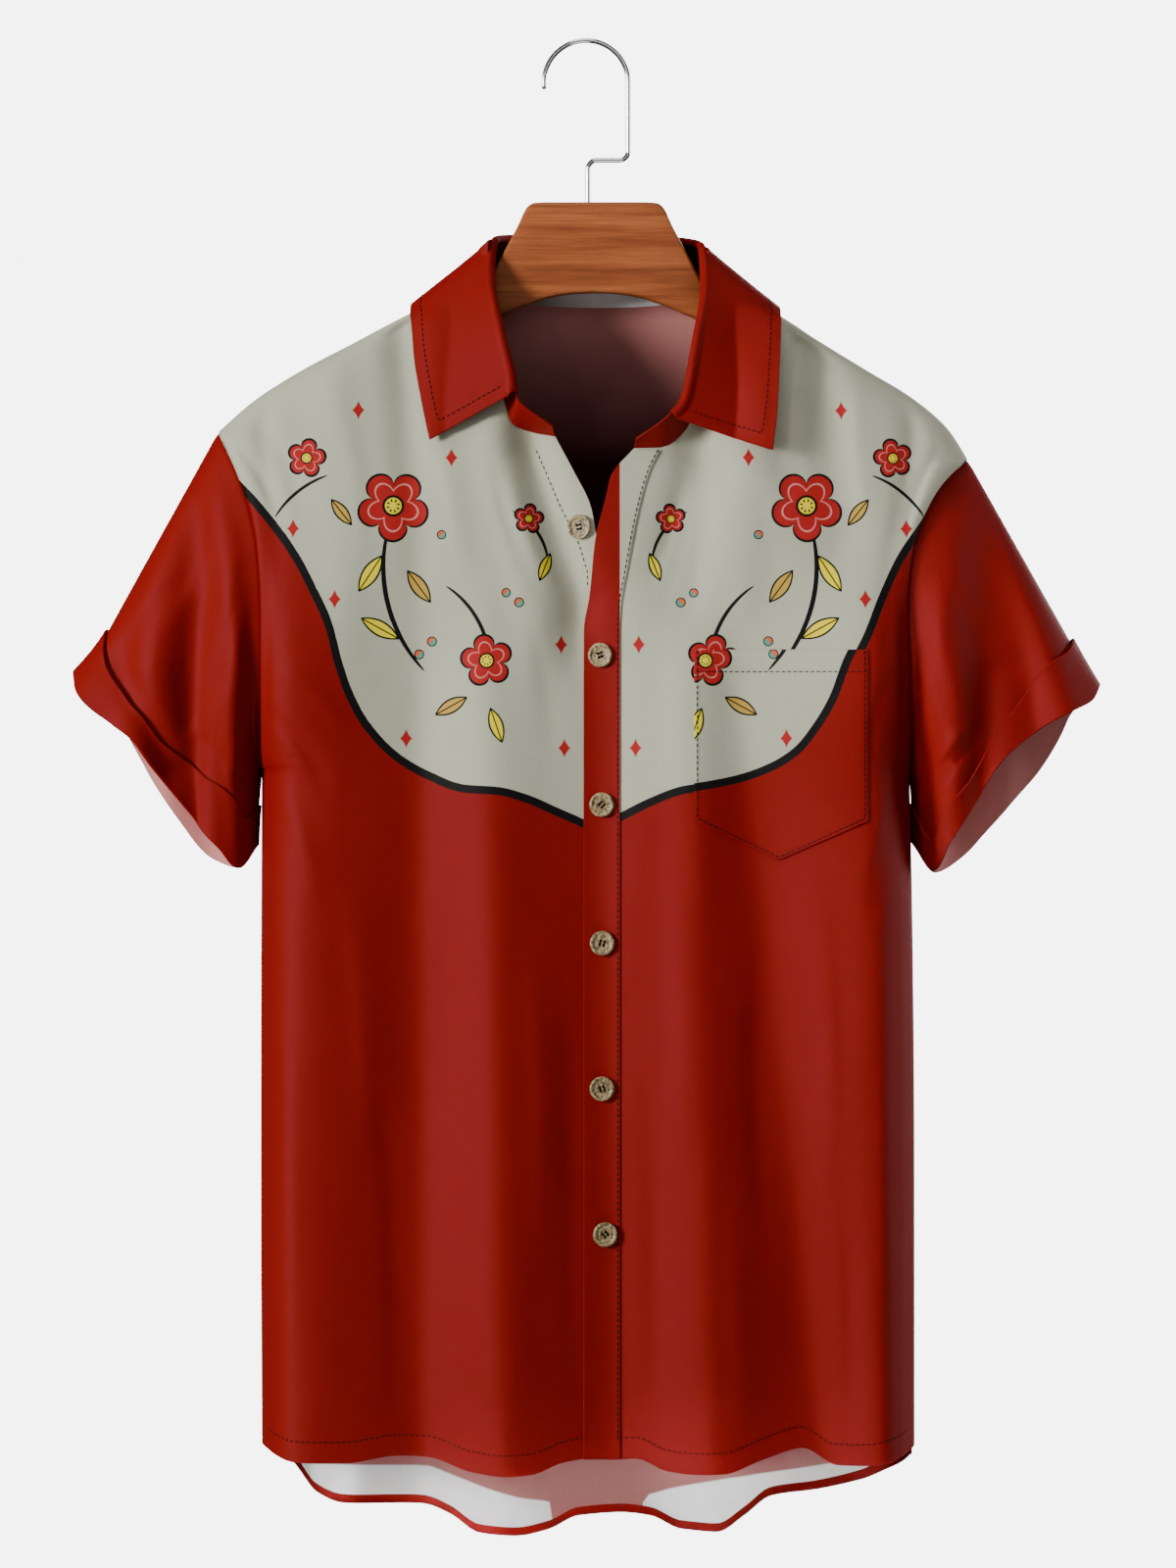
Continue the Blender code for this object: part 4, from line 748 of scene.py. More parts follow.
def shell(name, outer, inward, finishes, closed=False, bulge=0.15, marks=None):
    marks = dict(marks or {})
    if (gridNormals(outer, closed) * inward).sum() > 0:
        outer, inward = outer[:, ::-1], inward[:, ::-1]
        marks = {key: value[:, ::-1] for key, value in marks.items()}
    rows, columns = outer.shape[:2]
    count = rows * columns
    inner = outer + inward
    spans = columns if closed else columns - 1
    r, c = np.arange(rows - 1)[:, None], np.arange(spans)[None]
    nextC = (c + 1) % columns
    low, high = r * columns, (r + 1) * columns
    quads = joined(low + c, low + nextC, high + nextC, high + c).reshape(-1, 4)
    wrapped = np.concatenate([outer, outer[:, :1]], axis=1) if closed else outer
    acrossLength = np.linalg.norm(np.diff(wrapped, axis=1), axis=-1)
    acrossLength = np.concatenate([np.zeros((rows, 1)), np.cumsum(acrossLength, axis=1)], axis=1)
    upLength = np.linalg.norm(np.diff(wrapped, axis=0), axis=-1)
    upLength = np.concatenate([np.zeros((1, wrapped.shape[1])), np.cumsum(upLength, axis=0)])
    flat = np.stack([acrossLength, upLength], axis=-1) * mm
    cornerUv = np.stack([flat[:-1, :-1], flat[:-1, 1:], flat[1:, 1:], flat[1:, :-1]], axis=2)
    cornerUv = cornerUv.reshape(-1, 4, 2)
    points = [outer.reshape(-1, 3), inner.reshape(-1, 3)]
    faces = [quads, quads[:, ::-1] + count]
    uvs = [cornerUv, cornerUv[:, ::-1]]
    kinds = [np.zeros(len(quads), int), np.ones(len(quads), int)]
    markRows = {key: [value.reshape(-1)] * 2 for key, value in marks.items()}
    made = 2 * count
    for loop, inside in borderLoops(rows, columns, closed):
        at, near = np.array(loop), np.array(inside)
        out = unit(outer[at[:, 0], at[:, 1]] - outer[near[:, 0], near[:, 1]])
        thick = np.linalg.norm(inward[at[:, 0], at[:, 1]], axis=-1, keepdims=True)
        points.append((outer + inner)[at[:, 0], at[:, 1]] / 2 + out * thick * bulge)
        index = at[:, 0] * columns + at[:, 1]
        following, middle = np.roll(index, -1), made + np.arange(len(at))
        nextMiddle = np.roll(middle, -1)
        faces.append(np.stack([following, index, middle, nextMiddle], axis=-1))
        faces.append(np.stack([nextMiddle, middle, index + count, following + count], axis=-1))
        edgeUv = flat[at[:, 0], at[:, 1]]
        nextUv = np.roll(edgeUv, -1, axis=0)
        band = np.stack([nextUv, edgeUv, edgeUv, nextUv], axis=1)
        uvs += [band, band]
        kinds.append(np.full(2 * len(at), 2))
        for key, value in marks.items():
            markRows[key].append(value[at[:, 0], at[:, 1]])
        made += len(at)
    mesh = bpy.data.meshes.new(name)
    mesh.from_pydata(np.concatenate(points) * mm, [], np.concatenate(faces).tolist())
    for finish in finishes:
        mesh.materials.append(finish)
    mesh.polygons.foreach_set("material_index", np.concatenate(kinds) % len(finishes))
    layer = mesh.uv_layers.new(name="cloth")
    layer.data.foreach_set("uv", np.concatenate(uvs).reshape(-1).astype(np.float32))
    for key, values in markRows.items():
        mark = mesh.attributes.new(key, "FLOAT", "POINT")
        mark.data.foreach_set("value", np.concatenate(values).astype(np.float32))
    mesh.shade_smooth()
    mesh.set_sharp_from_angle(angle=math.radians(50))
    return placed(name, mesh)


# ---- materials

tones = {
    "red": (0.200, 0.0022, 0.0013),
    "grey": (0.430, 0.430, 0.318),
    "line": (0.0025, 0.0025, 0.0025),
    "thread": (0.004, 0.004, 0.004),
    "reverse": (0.60, 0.225, 0.205),
    "pale": (0.84, 0.83, 0.82),
    # painted shade: a darkened copy of the pale lining, for the stand
    "shadedPale": (0.24, 0.20, 0.19),
    # painted shade: a darkened copy of the lining pink, for the hem
    "shadedPink": (0.36, 0.135, 0.125),
    # painted shade: near-black red for the inside of the neck and the stand
    "shade": (0.030, 0.0010, 0.0008),
    "blossom": (0.36, 0.012, 0.012),
    "petalEdge": (0.62, 0.22, 0.19),
    "yellow": (0.80, 0.66, 0.02),
    "gold": (0.48, 0.30, 0.05),
    "teal": (0.10, 0.30, 0.24),
    "orange": (0.60, 0.11, 0.04),
}


class Value:    # a number in a node tree, so that a sum of nodes is written as a sum
    def __init__(self, nodes, socket):
        self.nodes, self.socket = nodes, socket

    def sum(self, operation, *others):
        return self.nodes.sum(operation, self, *others)

    def __abs__(self):
        return self.sum("ABSOLUTE")

    def __rsub__(self, other):
        return self.nodes.sum("SUBTRACT", other, self)


for sign, operation in (
    ("add", "ADD"), ("sub", "SUBTRACT"), ("mul", "MULTIPLY"), ("truediv", "DIVIDE"), ("pow", "POWER"),
    ("lt", "LESS_THAN"), ("gt", "GREATER_THAN"),
):
    setattr(Value, f"__{sign}__", functools.partialmethod(Value.sum, operation))


class Nodes:    # a node tree and the nodes that this shirt needs
    def __init__(self, tree):
        self.tree = tree

    def add(self, kind, inputs=None, **settings):
        made = self.tree.nodes.new(kind)
        for key, value in settings.items():
            setattr(made, key, value)
        for key, value in (inputs or {}).items():
            self.feed(made.inputs[key], value)
        return made

    def feed(self, socket, value):
        value = getattr(value, "socket", value)
        if isinstance(value, bpy.types.NodeSocket):
            self.tree.links.new(value, socket)
        else:
            socket.default_value = value

    def sum(self, operation, *values):
        made = self.add("ShaderNodeMath", dict(enumerate(values)), operation=operation)
        return Value(self, made.outputs[0])

    def vector(self, operation, *values):
        made = self.add("ShaderNodeVectorMath", dict(enumerate(values)), operation=operation)
        return made.outputs[0]

    def mix(self, share, under, over):
        made = self.add("ShaderNodeMix", {0: share}, data_type="RGBA")
        for i, colour in ((6, under), (7, over)):
            self.feed(made.inputs[i], (*colour, 1) if isinstance(colour, (tuple, list)) else colour)
        return made.outputs[2]

    def place(self):    # in metres
        return self.add("ShaderNodeTexCoord").outputs["Object"]

    def split(self, vector):
        return [Value(self, part) for part in self.add("ShaderNodeSeparateXYZ", {0: vector}).outputs]

    def mark(self, name):    # a number kept at each point of the cloth
        return Value(self, self.add("ShaderNodeAttribute", attribute_name=name).outputs["Fac"])

    def flat(self, tone):
        made = self.add("ShaderNodeRGB")
        made.outputs[0].default_value = (*tone, 1)
        return made.outputs[0]

    def shaded(self, colour, share):    # the same colour, lighter or darker
        made = self.add("ShaderNodeVectorMath", {0: colour, "Scale": share}, operation="SCALE")
        return made.outputs[0]

    def ranged(self, value, start, end, low=0.0, high=1.0):
        inputs = {"Value": value, "From Min": start, "From Max": end, "To Min": low, "To Max": high}
        return Value(self, self.add("ShaderNodeMapRange", inputs).outputs[0])

    def noise(self, place, scale, detail, roughness=0.5):    # three scales stretch it
        if isinstance(scale, tuple):
            place, scale = self.vector("MULTIPLY", place, scale), 1.0
        inputs = {"Vector": place, "Scale": scale, "Detail": detail, "Roughness": roughness}
        return Value(self, self.add("ShaderNodeTexNoise", inputs).outputs["Fac"])

    def ramp(self, share, stops):    # (place, colour) from the darkest to the lightest
        made = self.add("ShaderNodeValToRGB", {0: share})
        for at, colour in stops[1:-1]:
            made.color_ramp.elements.new(at)
        for element, (at, colour) in zip(made.color_ramp.elements, stops):
            element.position = at
            element.color = (*colour, 1)
        return made.outputs[0]

    def bump(self, shader, height, strength, distance, under=None):
        inputs = {"Height": height, "Strength": strength, "Distance": distance}
        if under:
            inputs["Normal"] = under
        made = self.add("ShaderNodeBump", inputs).outputs[0]
        self.feed(shader.inputs["Normal"], made)
        return made


def newFinish(name, roughness, **constants):
    made = bpy.data.materials.new(name)
    made.use_nodes = True
    shader = made.node_tree.nodes["Principled BSDF"]
    shader.inputs["Roughness"].default_value = roughness
    for key, value in constants.items():
        shader.inputs[key].default_value = value
    return made, Nodes(made.node_tree), shader


weave = {
    "pitch": 0.0006, "bump": 0.12, "slub": 0.05, "crumple": 0.10, "crumples": 55.0,
    "warp": (900, 70, 1), "weft": (60, 700, 1),    # how finely the uneven threads run, across and up
}


def woven(nodes, shader, colour):    # the weave, its uneven threads and faint crumples
    uv = nodes.add("ShaderNodeUVMap", uv_map="cloth").outputs[0]
    threads = nodes.split(nodes.vector("MULTIPLY", uv, (math.tau / weave["pitch"],) * 3))
    height = threads[0].sum("SINE") * threads[1].sum("SINE") * 0.5
    uneven = nodes.noise(uv, weave["warp"], 3.0) + nodes.noise(uv, weave["weft"], 3.0) - 1
    shade = uneven.sum("MULTIPLY_ADD", 2 * weave["slub"], 1)
    nodes.feed(shader.inputs["Base Color"], nodes.shaded(colour, shade))
    fine = nodes.bump(shader, uneven.sum("MULTIPLY_ADD", 0.35, height), weave["bump"], 0.0002)
    nodes.bump(shader, nodes.noise(uv, weave["crumples"], 4.0, 0.45), weave["crumple"], 0.004, fine)


clothGloss = {"Specular IOR Level": 0.13}


def plainCloth(name, tone, roughness=0.66):
    made, nodes, shader = newFinish(name, roughness, **clothGloss)
    woven(nodes, shader, nodes.flat(tones[tone]))
    return made


# The print, on each side of a line down the middle of the front: distance from that line and height.
motifs = {
    "middle": 8.0,
    # distance, height, radius, turn
    "blossoms": [(128, -292, 22, 0.3), (70, -388, 16, 1.1), (182, -262, 12, 2.0), (44, -300, 9, 0.8)],
    # centre of the arc, radius, from angle, to angle, width
    "stems": [
        (40, -330, 94, -0.75, 0.28, 1.5), (128, -392, 60, 2.15, 3.35, 1.2),
        (150, -330, 60, 0.55, 1.25, 1.0),
        (70, -330, 38, 2.0, 3.1, 1.0),
    ],
    # distance, height, half length, half width, turn
    "leaves": [
        (142, -334, 13, 4.6, -1.0, "yellow"), (112, -342, 12, 4.4, -2.2, "gold"),
        (136, -368, 13, 4.4, 0.5, "yellow"), (92, -416, 11, 4.0, -0.5, "gold"),
        (64, -428, 11, 4.0, -1.9, "yellow"), (160, -296, 10, 3.6, 0.9, "gold"),
        (34, -330, 9, 3.2, -1.2, "yellow"),
    ],
    # distance, height, half width, half height
    "diamonds": [
        (92, -262, 4.0, 6.2), (164, -350, 4.0, 6.2), (24, -378, 4.0, 6.2), (120, -436, 4.0, 6.2),
        (190, -306, 4.0, 6.2), (22, -442, 4.0, 6.2), (150, -232, 4.0, 6.2),
    ],
    # distance, height, radius
    "berries": [(104, -376, 2.8), (112, -384, 2.8), (50, -352, 2.8), (58, -346, 2.6), (98, -310, 2.6)],
}


def motifGroup(name, values, draw):    # a group that lays one motif over a colour
    tree = bpy.data.node_groups.new(name, "ShaderNodeTree")
    nodes = Nodes(tree)
    tree.interface.new_socket("Colour", in_out="INPUT", socket_type="NodeSocketColor")
    for value in ("Across", "Up", *values):
        tree.interface.new_socket(value, in_out="INPUT", socket_type="NodeSocketFloat")
    tree.interface.new_socket("Colour", in_out="OUTPUT", socket_type="NodeSocketColor")
    given = {socket.name: Value(nodes, socket) for socket in nodes.add("NodeGroupInput").outputs}
    end = nodes.add("NodeGroupOutput")
    across, up = given["Across"] - given["X"], given["Up"] - given["Z"]
    nodes.feed(end.inputs[0], draw(nodes, given, across, up))
    return tree


def turned(across, up, angle):
    cos, sin = angle.sum("COSINE"), angle.sum("SINE")
    return across * cos + up * sin, up * cos - across * sin


def far(across, up):
    return (across * across + up * up).sum("SQRT")


def drawBlossom(nodes, given, across, up):    # five round petals, outlined, about a dotted yellow eye
    distance = far(across, up)
    angle = up.sum("ARCTAN2", across) + given["Turn"]
    wave = abs((angle * 2.5).sum("COSINE"))
    edge = (wave ** 0.55).sum("MULTIPLY_ADD", 0.42, 0.58) * given["Radius"]
    inside = distance < edge
    outline = abs(distance - edge) < 0.75
    ratio = distance / given["Radius"]
    vein = abs(ratio - wave.sum("MULTIPLY_ADD", 0.30, 0.42)) < 0.028
    eye = ratio < 0.27
    ring = abs(ratio - 0.27) < 0.035
    dots = ((angle * 8).sum("COSINE") > 0.35) * ratio.sum("COMPARE", 0.15, 0.04)
    colour = nodes.mix(inside, given["Colour"], tones["blossom"])
    colour = nodes.mix(vein * inside, colour, tones["petalEdge"])
    colour = nodes.mix(eye, colour, tones["yellow"])
    colour = nodes.mix(dots, colour, tones["line"])
    return nodes.mix(outline.sum("MAXIMUM", ring), colour, tones["line"])


def drawStem(nodes, given, across, up):    # an arc that tapers to both ends
    distance = far(across, up) - given["Radius"]
    share = (up.sum("ARCTAN2", across) - given["From"]) / (given["To"] - given["From"])
    taper = (share * (1 - share) * 4).sum("MAXIMUM", 0) ** 0.4
    return nodes.mix(abs(distance) < taper * given["Width"], given["Colour"], tones["line"])


def drawLeaf(nodes, given, across, up):    # pointed at both ends, outlined, with a midrib
    along, side = turned(across, up, given["Turn"])
    share = along / given["Length"]
    width = (1 - share * share) * given["Width"]
    off = abs(side)
    inside = off < width
    line = (abs(off - width) < 0.55) * (abs(share) < 1.04)
    rib = (off < 0.4) * inside
    colour = nodes.mix(given["Gold"], tones["yellow"], tones["gold"])
    colour = nodes.mix(inside, given["Colour"], colour)
    return nodes.mix(line.sum("MAXIMUM", rib), colour, tones["line"])


def drawDiamond(nodes, given, across, up):    # a four-pointed spark with hollow sides
    hit = (abs(across) / given["Width"]) ** 0.75 + (abs(up) / given["Height"]) ** 0.75 < 1
    return nodes.mix(hit, given["Colour"], tones["blossom"])


def drawBerry(nodes, given, across, up):    # half teal and half orange
    distance = far(across, up)
    half = nodes.mix(across + up < 0, tones["orange"], tones["teal"])
    colour = nodes.mix(distance < given["Radius"], given["Colour"], half)
    return nodes.mix(distance.sum("COMPARE", given["Radius"], 0.35), colour, tones["line"])


drawn = {
    "blossoms": motifGroup("blossom", ["X", "Z", "Radius", "Turn"], drawBlossom),
    "stems": motifGroup("stem", ["X", "Z", "Radius", "From", "To", "Width"], drawStem),
    "leaves": motifGroup("leaf", ["X", "Z", "Length", "Width", "Turn", "Gold"], drawLeaf),
    "diamonds": motifGroup("diamond", ["X", "Z", "Width", "Height"], drawDiamond),
    "berries": motifGroup("berry", ["X", "Z", "Radius"], drawBerry),
}


def layMotifs(nodes, colour, across, up):
    for kind in ("stems", "leaves", "berries", "diamonds", "blossoms"):
        names = [item.name for item in drawn[kind].interface.items_tree if item.in_out == "INPUT"][3:]
        for row in motifs[kind]:
            row = [float(value == "gold") if isinstance(value, str) else float(value) for value in row]
            group = nodes.add("ShaderNodeGroup", node_tree=drawn[kind])
            nodes.feed(group.inputs["Colour"], colour)
            nodes.feed(group.inputs["Across"], across)
            nodes.feed(group.inputs["Up"], up)
            for name, value in zip(names, row):
                group.inputs[name].default_value = value
            colour = group.outputs[0]
    return colour


piping = {
    "width": 5.0,
    "right": [
        (-236, -262), (-214, -281), (-198, -299), (-180, -324), (-170, -343), (-160, -365), (-153, -391.5),
        (-145.5, -412), (-134, -431), (-117, -448), (-98, -459), (-76, -467), (-55, -468.5), (-38, -473),
        (-19.5, -481), (-3.7, -488), (10, -495),
    ],
    "left": [
        (0, -495), (20, -485), (40, -475), (59, -468), (79, -465), (98.5, -461), (118, -454), (134, -444),
        (147, -428), (157, -410.5), (165, -389), (173, -373), (183, -348), (194.5, -324), (206, -307),
        (240, -262),
    ],
    "back": [
        (-240, -262), (-212, -292), (-182, -322), (-150, -345), (-110, -360), (-70, -368), (-30, -382),
        (1, -402), (32, -382), (72, -368), (112, -360), (152, -345), (184, -322), (214, -292), (240, -262),
    ],
}


def yokeMark(x, z, line):    # signed distance from the piping, above it positive
    ends = np.array(line, float)
    spread = np.linspace(ends[0, 0], ends[-1, 0], 500)
    curve = through(ends[:, 0], ends[:, 1], spread)
    shape = x.shape
    x, z = x.reshape(-1), z.reshape(-1)
    near = np.abs(z + 380) < 180
    found = np.where(z > -380, 60.0, -60.0)
    gap = np.hypot(x[near, None] - spread, z[near, None] - curve).min(axis=1)
    found[near] = gap * np.sign(z[near] - np.interp(x[near], spread, curve))
    return found.reshape(shape)


def aboveRed(nodes, colour):    # this colour above the piping, red below it
    yoke = nodes.mark("yoke")
    colour = nodes.mix(yoke > 0, tones["red"], colour)
    return nodes.mix(abs(yoke) < piping["width"] / 2, colour, tones["line"])


def printedCloth(name, shift=0.0, bandTo=None):    # grey yoke, piping, motifs and red below
    made, nodes, shader = newFinish(name, 0.66, **clothGloss)
    x, _, z = nodes.split(nodes.vector("MULTIPLY", nodes.place(), (1 / mm,) * 3))
    across = abs(x + (shift - motifs["middle"]))
    colour = aboveRed(nodes, layMotifs(nodes, nodes.flat(tones["grey"]), across, z))
    if bandTo is not None:
        colour = nodes.mix(x < bandTo, colour, tones["red"])
    woven(nodes, shader, colour)
    return made


def backCloth():    # the same yoke and piping behind, with no motifs
    made, nodes, shader = newFinish("backCloth", 0.66, **clothGloss)
    woven(nodes, shader, aboveRed(nodes, tones["grey"]))
    return made


inside = {
    "white": (0.6, -0.6),        # over this many mm about the line where the white starts
    "deep": (-0.140, -0.262),    # heights in metres over which the neck's painted shade grows
    "low": (-0.72, -0.62),       # and over which the hem's greyer, darker pink of painted shade ends
    "edge": 5.5,                 # the rolled red edge
    "lined": (0.006, -0.146),    # the stand is pale behind and below these, and painted shade elsewhere
    "rightShade": (-0.03, 0.02),       # and darker towards the right of this, in painted shade
}


def backReverse():    # pink, white towards the ends of the hem, and a rolled red edge; painted shade makes it near-black red below the neck and a darker pink at the hem
    made, nodes, shader = newFinish("backReverse", 0.7, **clothGloss)
    height = nodes.split(nodes.place())[2]
    white, deep, low = (
        nodes.ranged(value, *inside[key])
        for value, key in ((nodes.mark("tail"), "white"), (height, "deep"), (height, "low"))
    )
    # painted shade: below the hem heights the pink is its darkened copy
    colour = nodes.mix(white, nodes.mix(low, tones["shadedPink"], tones["reverse"]), tones["pale"])
    # painted shade: the inside of the back goes near-black red below the neck, fading out above the hem
    colour = nodes.mix(deep * low, colour, tones["shade"])
    colour = nodes.mix(nodes.mark("rise") < inside["edge"], colour, tones["red"])
    woven(nodes, shader, colour)
    return made


def standLining():    # painted shade, a near-black red, in front and above; pale behind the neck, darkening towards the right in painted shade
    made, nodes, shader = newFinish("standLining", 0.7, **clothGloss)
    x, y, z = nodes.split(nodes.place())
    lined = (y > inside["lined"][0]) * (z < inside["lined"][1])
    # painted shade: the pale lining darkens towards the right
    pale = nodes.mix(nodes.ranged(x, *inside["rightShade"]), tones["shadedPale"], tones["pale"])
    # painted shade: near-black red wherever the lining is not behind and below the neck
    woven(nodes, shader, nodes.mix(lined, tones["shade"], pale))
    return made


pocket = {
    "inner": 66.5, "outer": 173.0, "top": -381.5, "corner": -487.0, "point": (118.5, -511.0),
    "lift": 1.35, "wall": 1.0, "hem": 13.3, "inset": 1.6, "printShift": 4.9,
}

redCloth = plainCloth("redCloth", "red")
reverseCloth = plainCloth("reverseCloth", "reverse", 0.7)
printRight = printedCloth("printRight")
printLeft = printedCloth("printLeft", bandTo=20.3)
printPocket = printedCloth("printPocket", shift=pocket["printShift"])
printBack = backCloth()
reverseBack = backReverse()
liningStand = standLining()
print("materials ready")


# ---- the cloth pieces

pieces = {}
tailEdge = [
    (-204, -880), (-173, -895), (-146, -896), (-100, -898), (-64, -911), (-43, -917), (-24, -919.5),
    (-18, -960), (30, -960), (36, -917.6), (53, -913), (90, -905), (108.5, -902), (133, -899),
    (162, -894.5),
    (204, -880),
]


def makeFronts():
    for half, side, finish in ((rightHalf, "right", printRight), (leftHalf, "left", printLeft)):
        points = frontSurface(half)
        normals = bodyNormals(half)
        mark = yokeMark(points[..., 0], points[..., 2], piping[side])
        wall = normals.copy()
        wall[:grid["lowRows"], -1] = (half["sign"], 0, 0)
        wall[-1] = shoulderWall(points[-1][:, [0, 2]])
        hole, acrossHole = holeSeam(half)
        rows = grid["holeRows"] + 1
        wall[grid["lowRows"]:, -1] = hole[:rows]
        neck, acrossNeck = neckSeam()
        if half["sign"] > 0:
            neck, acrossNeck = neck[::-1], acrossNeck[::-1]
        wall[neckRow:, 0] = neck[:grid["neckColumns"] + 1]
        normals[grid["lowRows"]:, -1] = unit(hole[:rows])
        points = sinkBeside(points, normals, rows=(-1,), columns=(-1,))
        points = sinkBeside(points, normals, rows=(-1,), off=cloth["stitchOff"])
        points[grid["lowRows"]:, -1] -= acrossHole[:rows]
        points[neckRow:, 0] -= acrossNeck[:grid["neckColumns"] + 1]
        points[..., 1] = np.minimum(points[..., 1], -cloth["seam"])
        points[:grid["lowRows"], -1, 1] = -cloth["seam"]
        pieces["front_" + side] = shell(
            "front_" + side + "_cloth", points, -wall * cloth["wall"], [finish, reverseCloth, finish],
            marks={"yoke": mark},
        )


def makeBack():
    points = backSurface()
    normals = backNormals()
    mark = yokeMark(points[..., 0], points[..., 2], piping["back"])
    hem = column(backHem, 0, 1, points[..., 0])
    tail = points[..., 2] - np.interp(points[..., 0], *np.array(tailEdge, float).T)
    wall = normals.copy()
    shoulder, first = grid["backShoulder"] + 1, grid["backShoulder"]
    last = first + grid["backNeck"]
    seam = shoulderWall(points[-1][:, [0, 2]])
    wall[-1, :shoulder] = seam[:shoulder]
    wall[-1, -shoulder:] = seam[-shoulder:]
    seams = []
    for half, end in ((rightHalf, 0), (leftHalf, -1)):
        behind, across = (
            np.concatenate([part[:1], part[:grid["holeRows"] - 1:-1]]) for part in holeSeam(half)
        )
        normals[grid["lowRows"]:, end] = unit(behind)
        wall[:grid["lowRows"], end] = (half["sign"], 0, 0)
        wall[grid["lowRows"]:, end] = behind
        seams.append((end, across))
    points = sinkBeside(points, normals, rows=(-1,), columns=(0, -1))
    for end, across in seams:
        points[grid["lowRows"]:, end] -= across
    neck, acrossNeck = neckSeam()
    columns = slice(grid["neckColumns"], grid["neckColumns"] + grid["backNeck"] + 1)
    wall[-1, first:last + 1] = neck[columns]
    points[-1, first:last + 1] -= acrossNeck[columns]
    points[..., 1] = np.maximum(points[..., 1], cloth["seam"])
    points[:grid["lowRows"], [0, -1], 1] = cloth["seam"]
    marks = {"yoke": mark, "tail": tail, "rise": points[..., 2] - hem}
    pieces["back"] = shell(
        "back_cloth", points, -wall * cloth["wall"], [printBack, reverseBack, redCloth], marks=marks
    )


def makeSleeves():
    for half, side in ((rightHalf, "right"), (leftHalf, "left")):
        rings = sleeveSurface(half)
        normals = facing(rings, rings - rings.mean(axis=1, keepdims=True), closed=True)
        wall = normals.copy()
        hole, acrossHole = holeSeam(half)
        wall[0] = hole
        angle = np.linspace(0, 2 * math.pi, rings.shape[1] + 1)[:-1]
        off = column(half["cuffBand"], 0, 2, (1 - np.cos(angle)) / 2)
        down = np.linspace(0, 1, grid["cuffRings"] + 1)[:, None]
        above = softStep((-np.cos(angle) - cuff["flareFrom"]) / cuff["flareOver"])
        flare = (cuff["bell"] + half["flare"] * above) * down ** cuff["bellPower"]
        end = normals[grid["sleeveRings"]:]
        band = rings[grid["sleeveRings"]:] + end * (off * (1 - cuff["closeIn"] * down) + flare)[..., None]
        rings[grid["sleeveRings"]:] += end * (cuff["follow"] * flare)[..., None]
        normals[0] = unit(hole)
        rings = sinkBeside(rings, normals, rows=(0,))
        rings[0] += acrossHole
        pieces["sleeve_" + side] = shell(
            "sleeve_" + side + "_cloth", rings, -wall * cloth["wall"], [redCloth, reverseCloth, redCloth],
            closed=True,
        )
        pieces["cuff_" + side] = shell(
            "cuff_" + side + "_cloth", band, -wall[grid["sleeveRings"]:] * cuff["wall"],
            [redCloth, redCloth, redCloth], closed=True, bulge=0.4,
        )


def makeCollar():
    stand = standSurface()
    normals = standNormals()
    wall = normals.copy()
    neck, acrossNeck = neckSeam()
    wall[0] = neck
    top, rise = stand[-1].copy(), unit(stand[-1] - stand[-2])
    stand[0] += acrossNeck
    pieces["collar_stand"] = shell(
        "collar_stand_cloth", stand, -wall * cloth["collarWall"], [redCloth, liningStand, redCloth],
        bulge=0.3,
    )
    edge = bothSides("rightLeaf", "leftLeaf", 5)
    kept = slice(collar["leafFrom"], len(top) - collar["leafFrom"])
    edge, top, rise, out = edge[kept], top[kept], rise[kept], normals[-1][kept]
    roll = edge[:, 3:]
    centre = top + rise * collar["gap"] + out * (roll - cloth["collarWall"])
    rows, walls = [], []
    for turn in np.linspace(0, math.pi, 13):
        arm = -math.cos(turn) * out + math.sin(turn) * rise
        rows.append(centre + arm * roll)
        walls.append(arm)
    for i in range(1, grid["leafRows"] + 1):
        out = i / grid["leafRows"]
        rows.append(clearOfBody(rows[12] + (edge[:, :3] - rows[12]) * out, out))
    points = np.array(rows)
    normals = facing(points, points - np.array([cloth["centre"], 0, -300]))
    walls += [normals[i] for i in range(len(walls), len(points))]
    pieces["collar_leaf"] = shell(
        "collar_leaf_cloth", points, -np.array(walls) * cloth["collarWall"], [redCloth, redCloth, redCloth],
        bulge=0.4,
    )
    return points


def onFront(x, z, lift):
    return joined(x, -bodyDepth(x, z, True) - lapLift(x, z) - lift, z)


def pocketBottom(x):
    middle, low = pocket["point"]
    side = np.where(x < middle, middle - pocket["inner"], pocket["outer"] - middle)
    return low + (pocket["corner"] - low) * np.abs(x - middle) / side


def makePocket():
    x = np.linspace(pocket["inner"], pocket["outer"], 61)[None]
    bottom = pocketBottom(x)
    z = bottom + (pocket["top"] - bottom) * np.linspace(0, 1, 73)[:, None]
    x = x + 0 * z
    points = onFront(x, z, pocket["lift"])
    mark = yokeMark(x + pocket["printShift"], z, piping["left"])
    wall = facing(points, (0, -1, 0))
    pieces["pocket"] = shell(
        "pocket_cloth", points, -wall * pocket["wall"], [printPocket, reverseCloth, printPocket],
        bulge=0.35, marks={"yoke": mark},
    )


band = {"lift": 1.2, "wall": 0.9, "short": 1.2}    # it ends a little below the collar


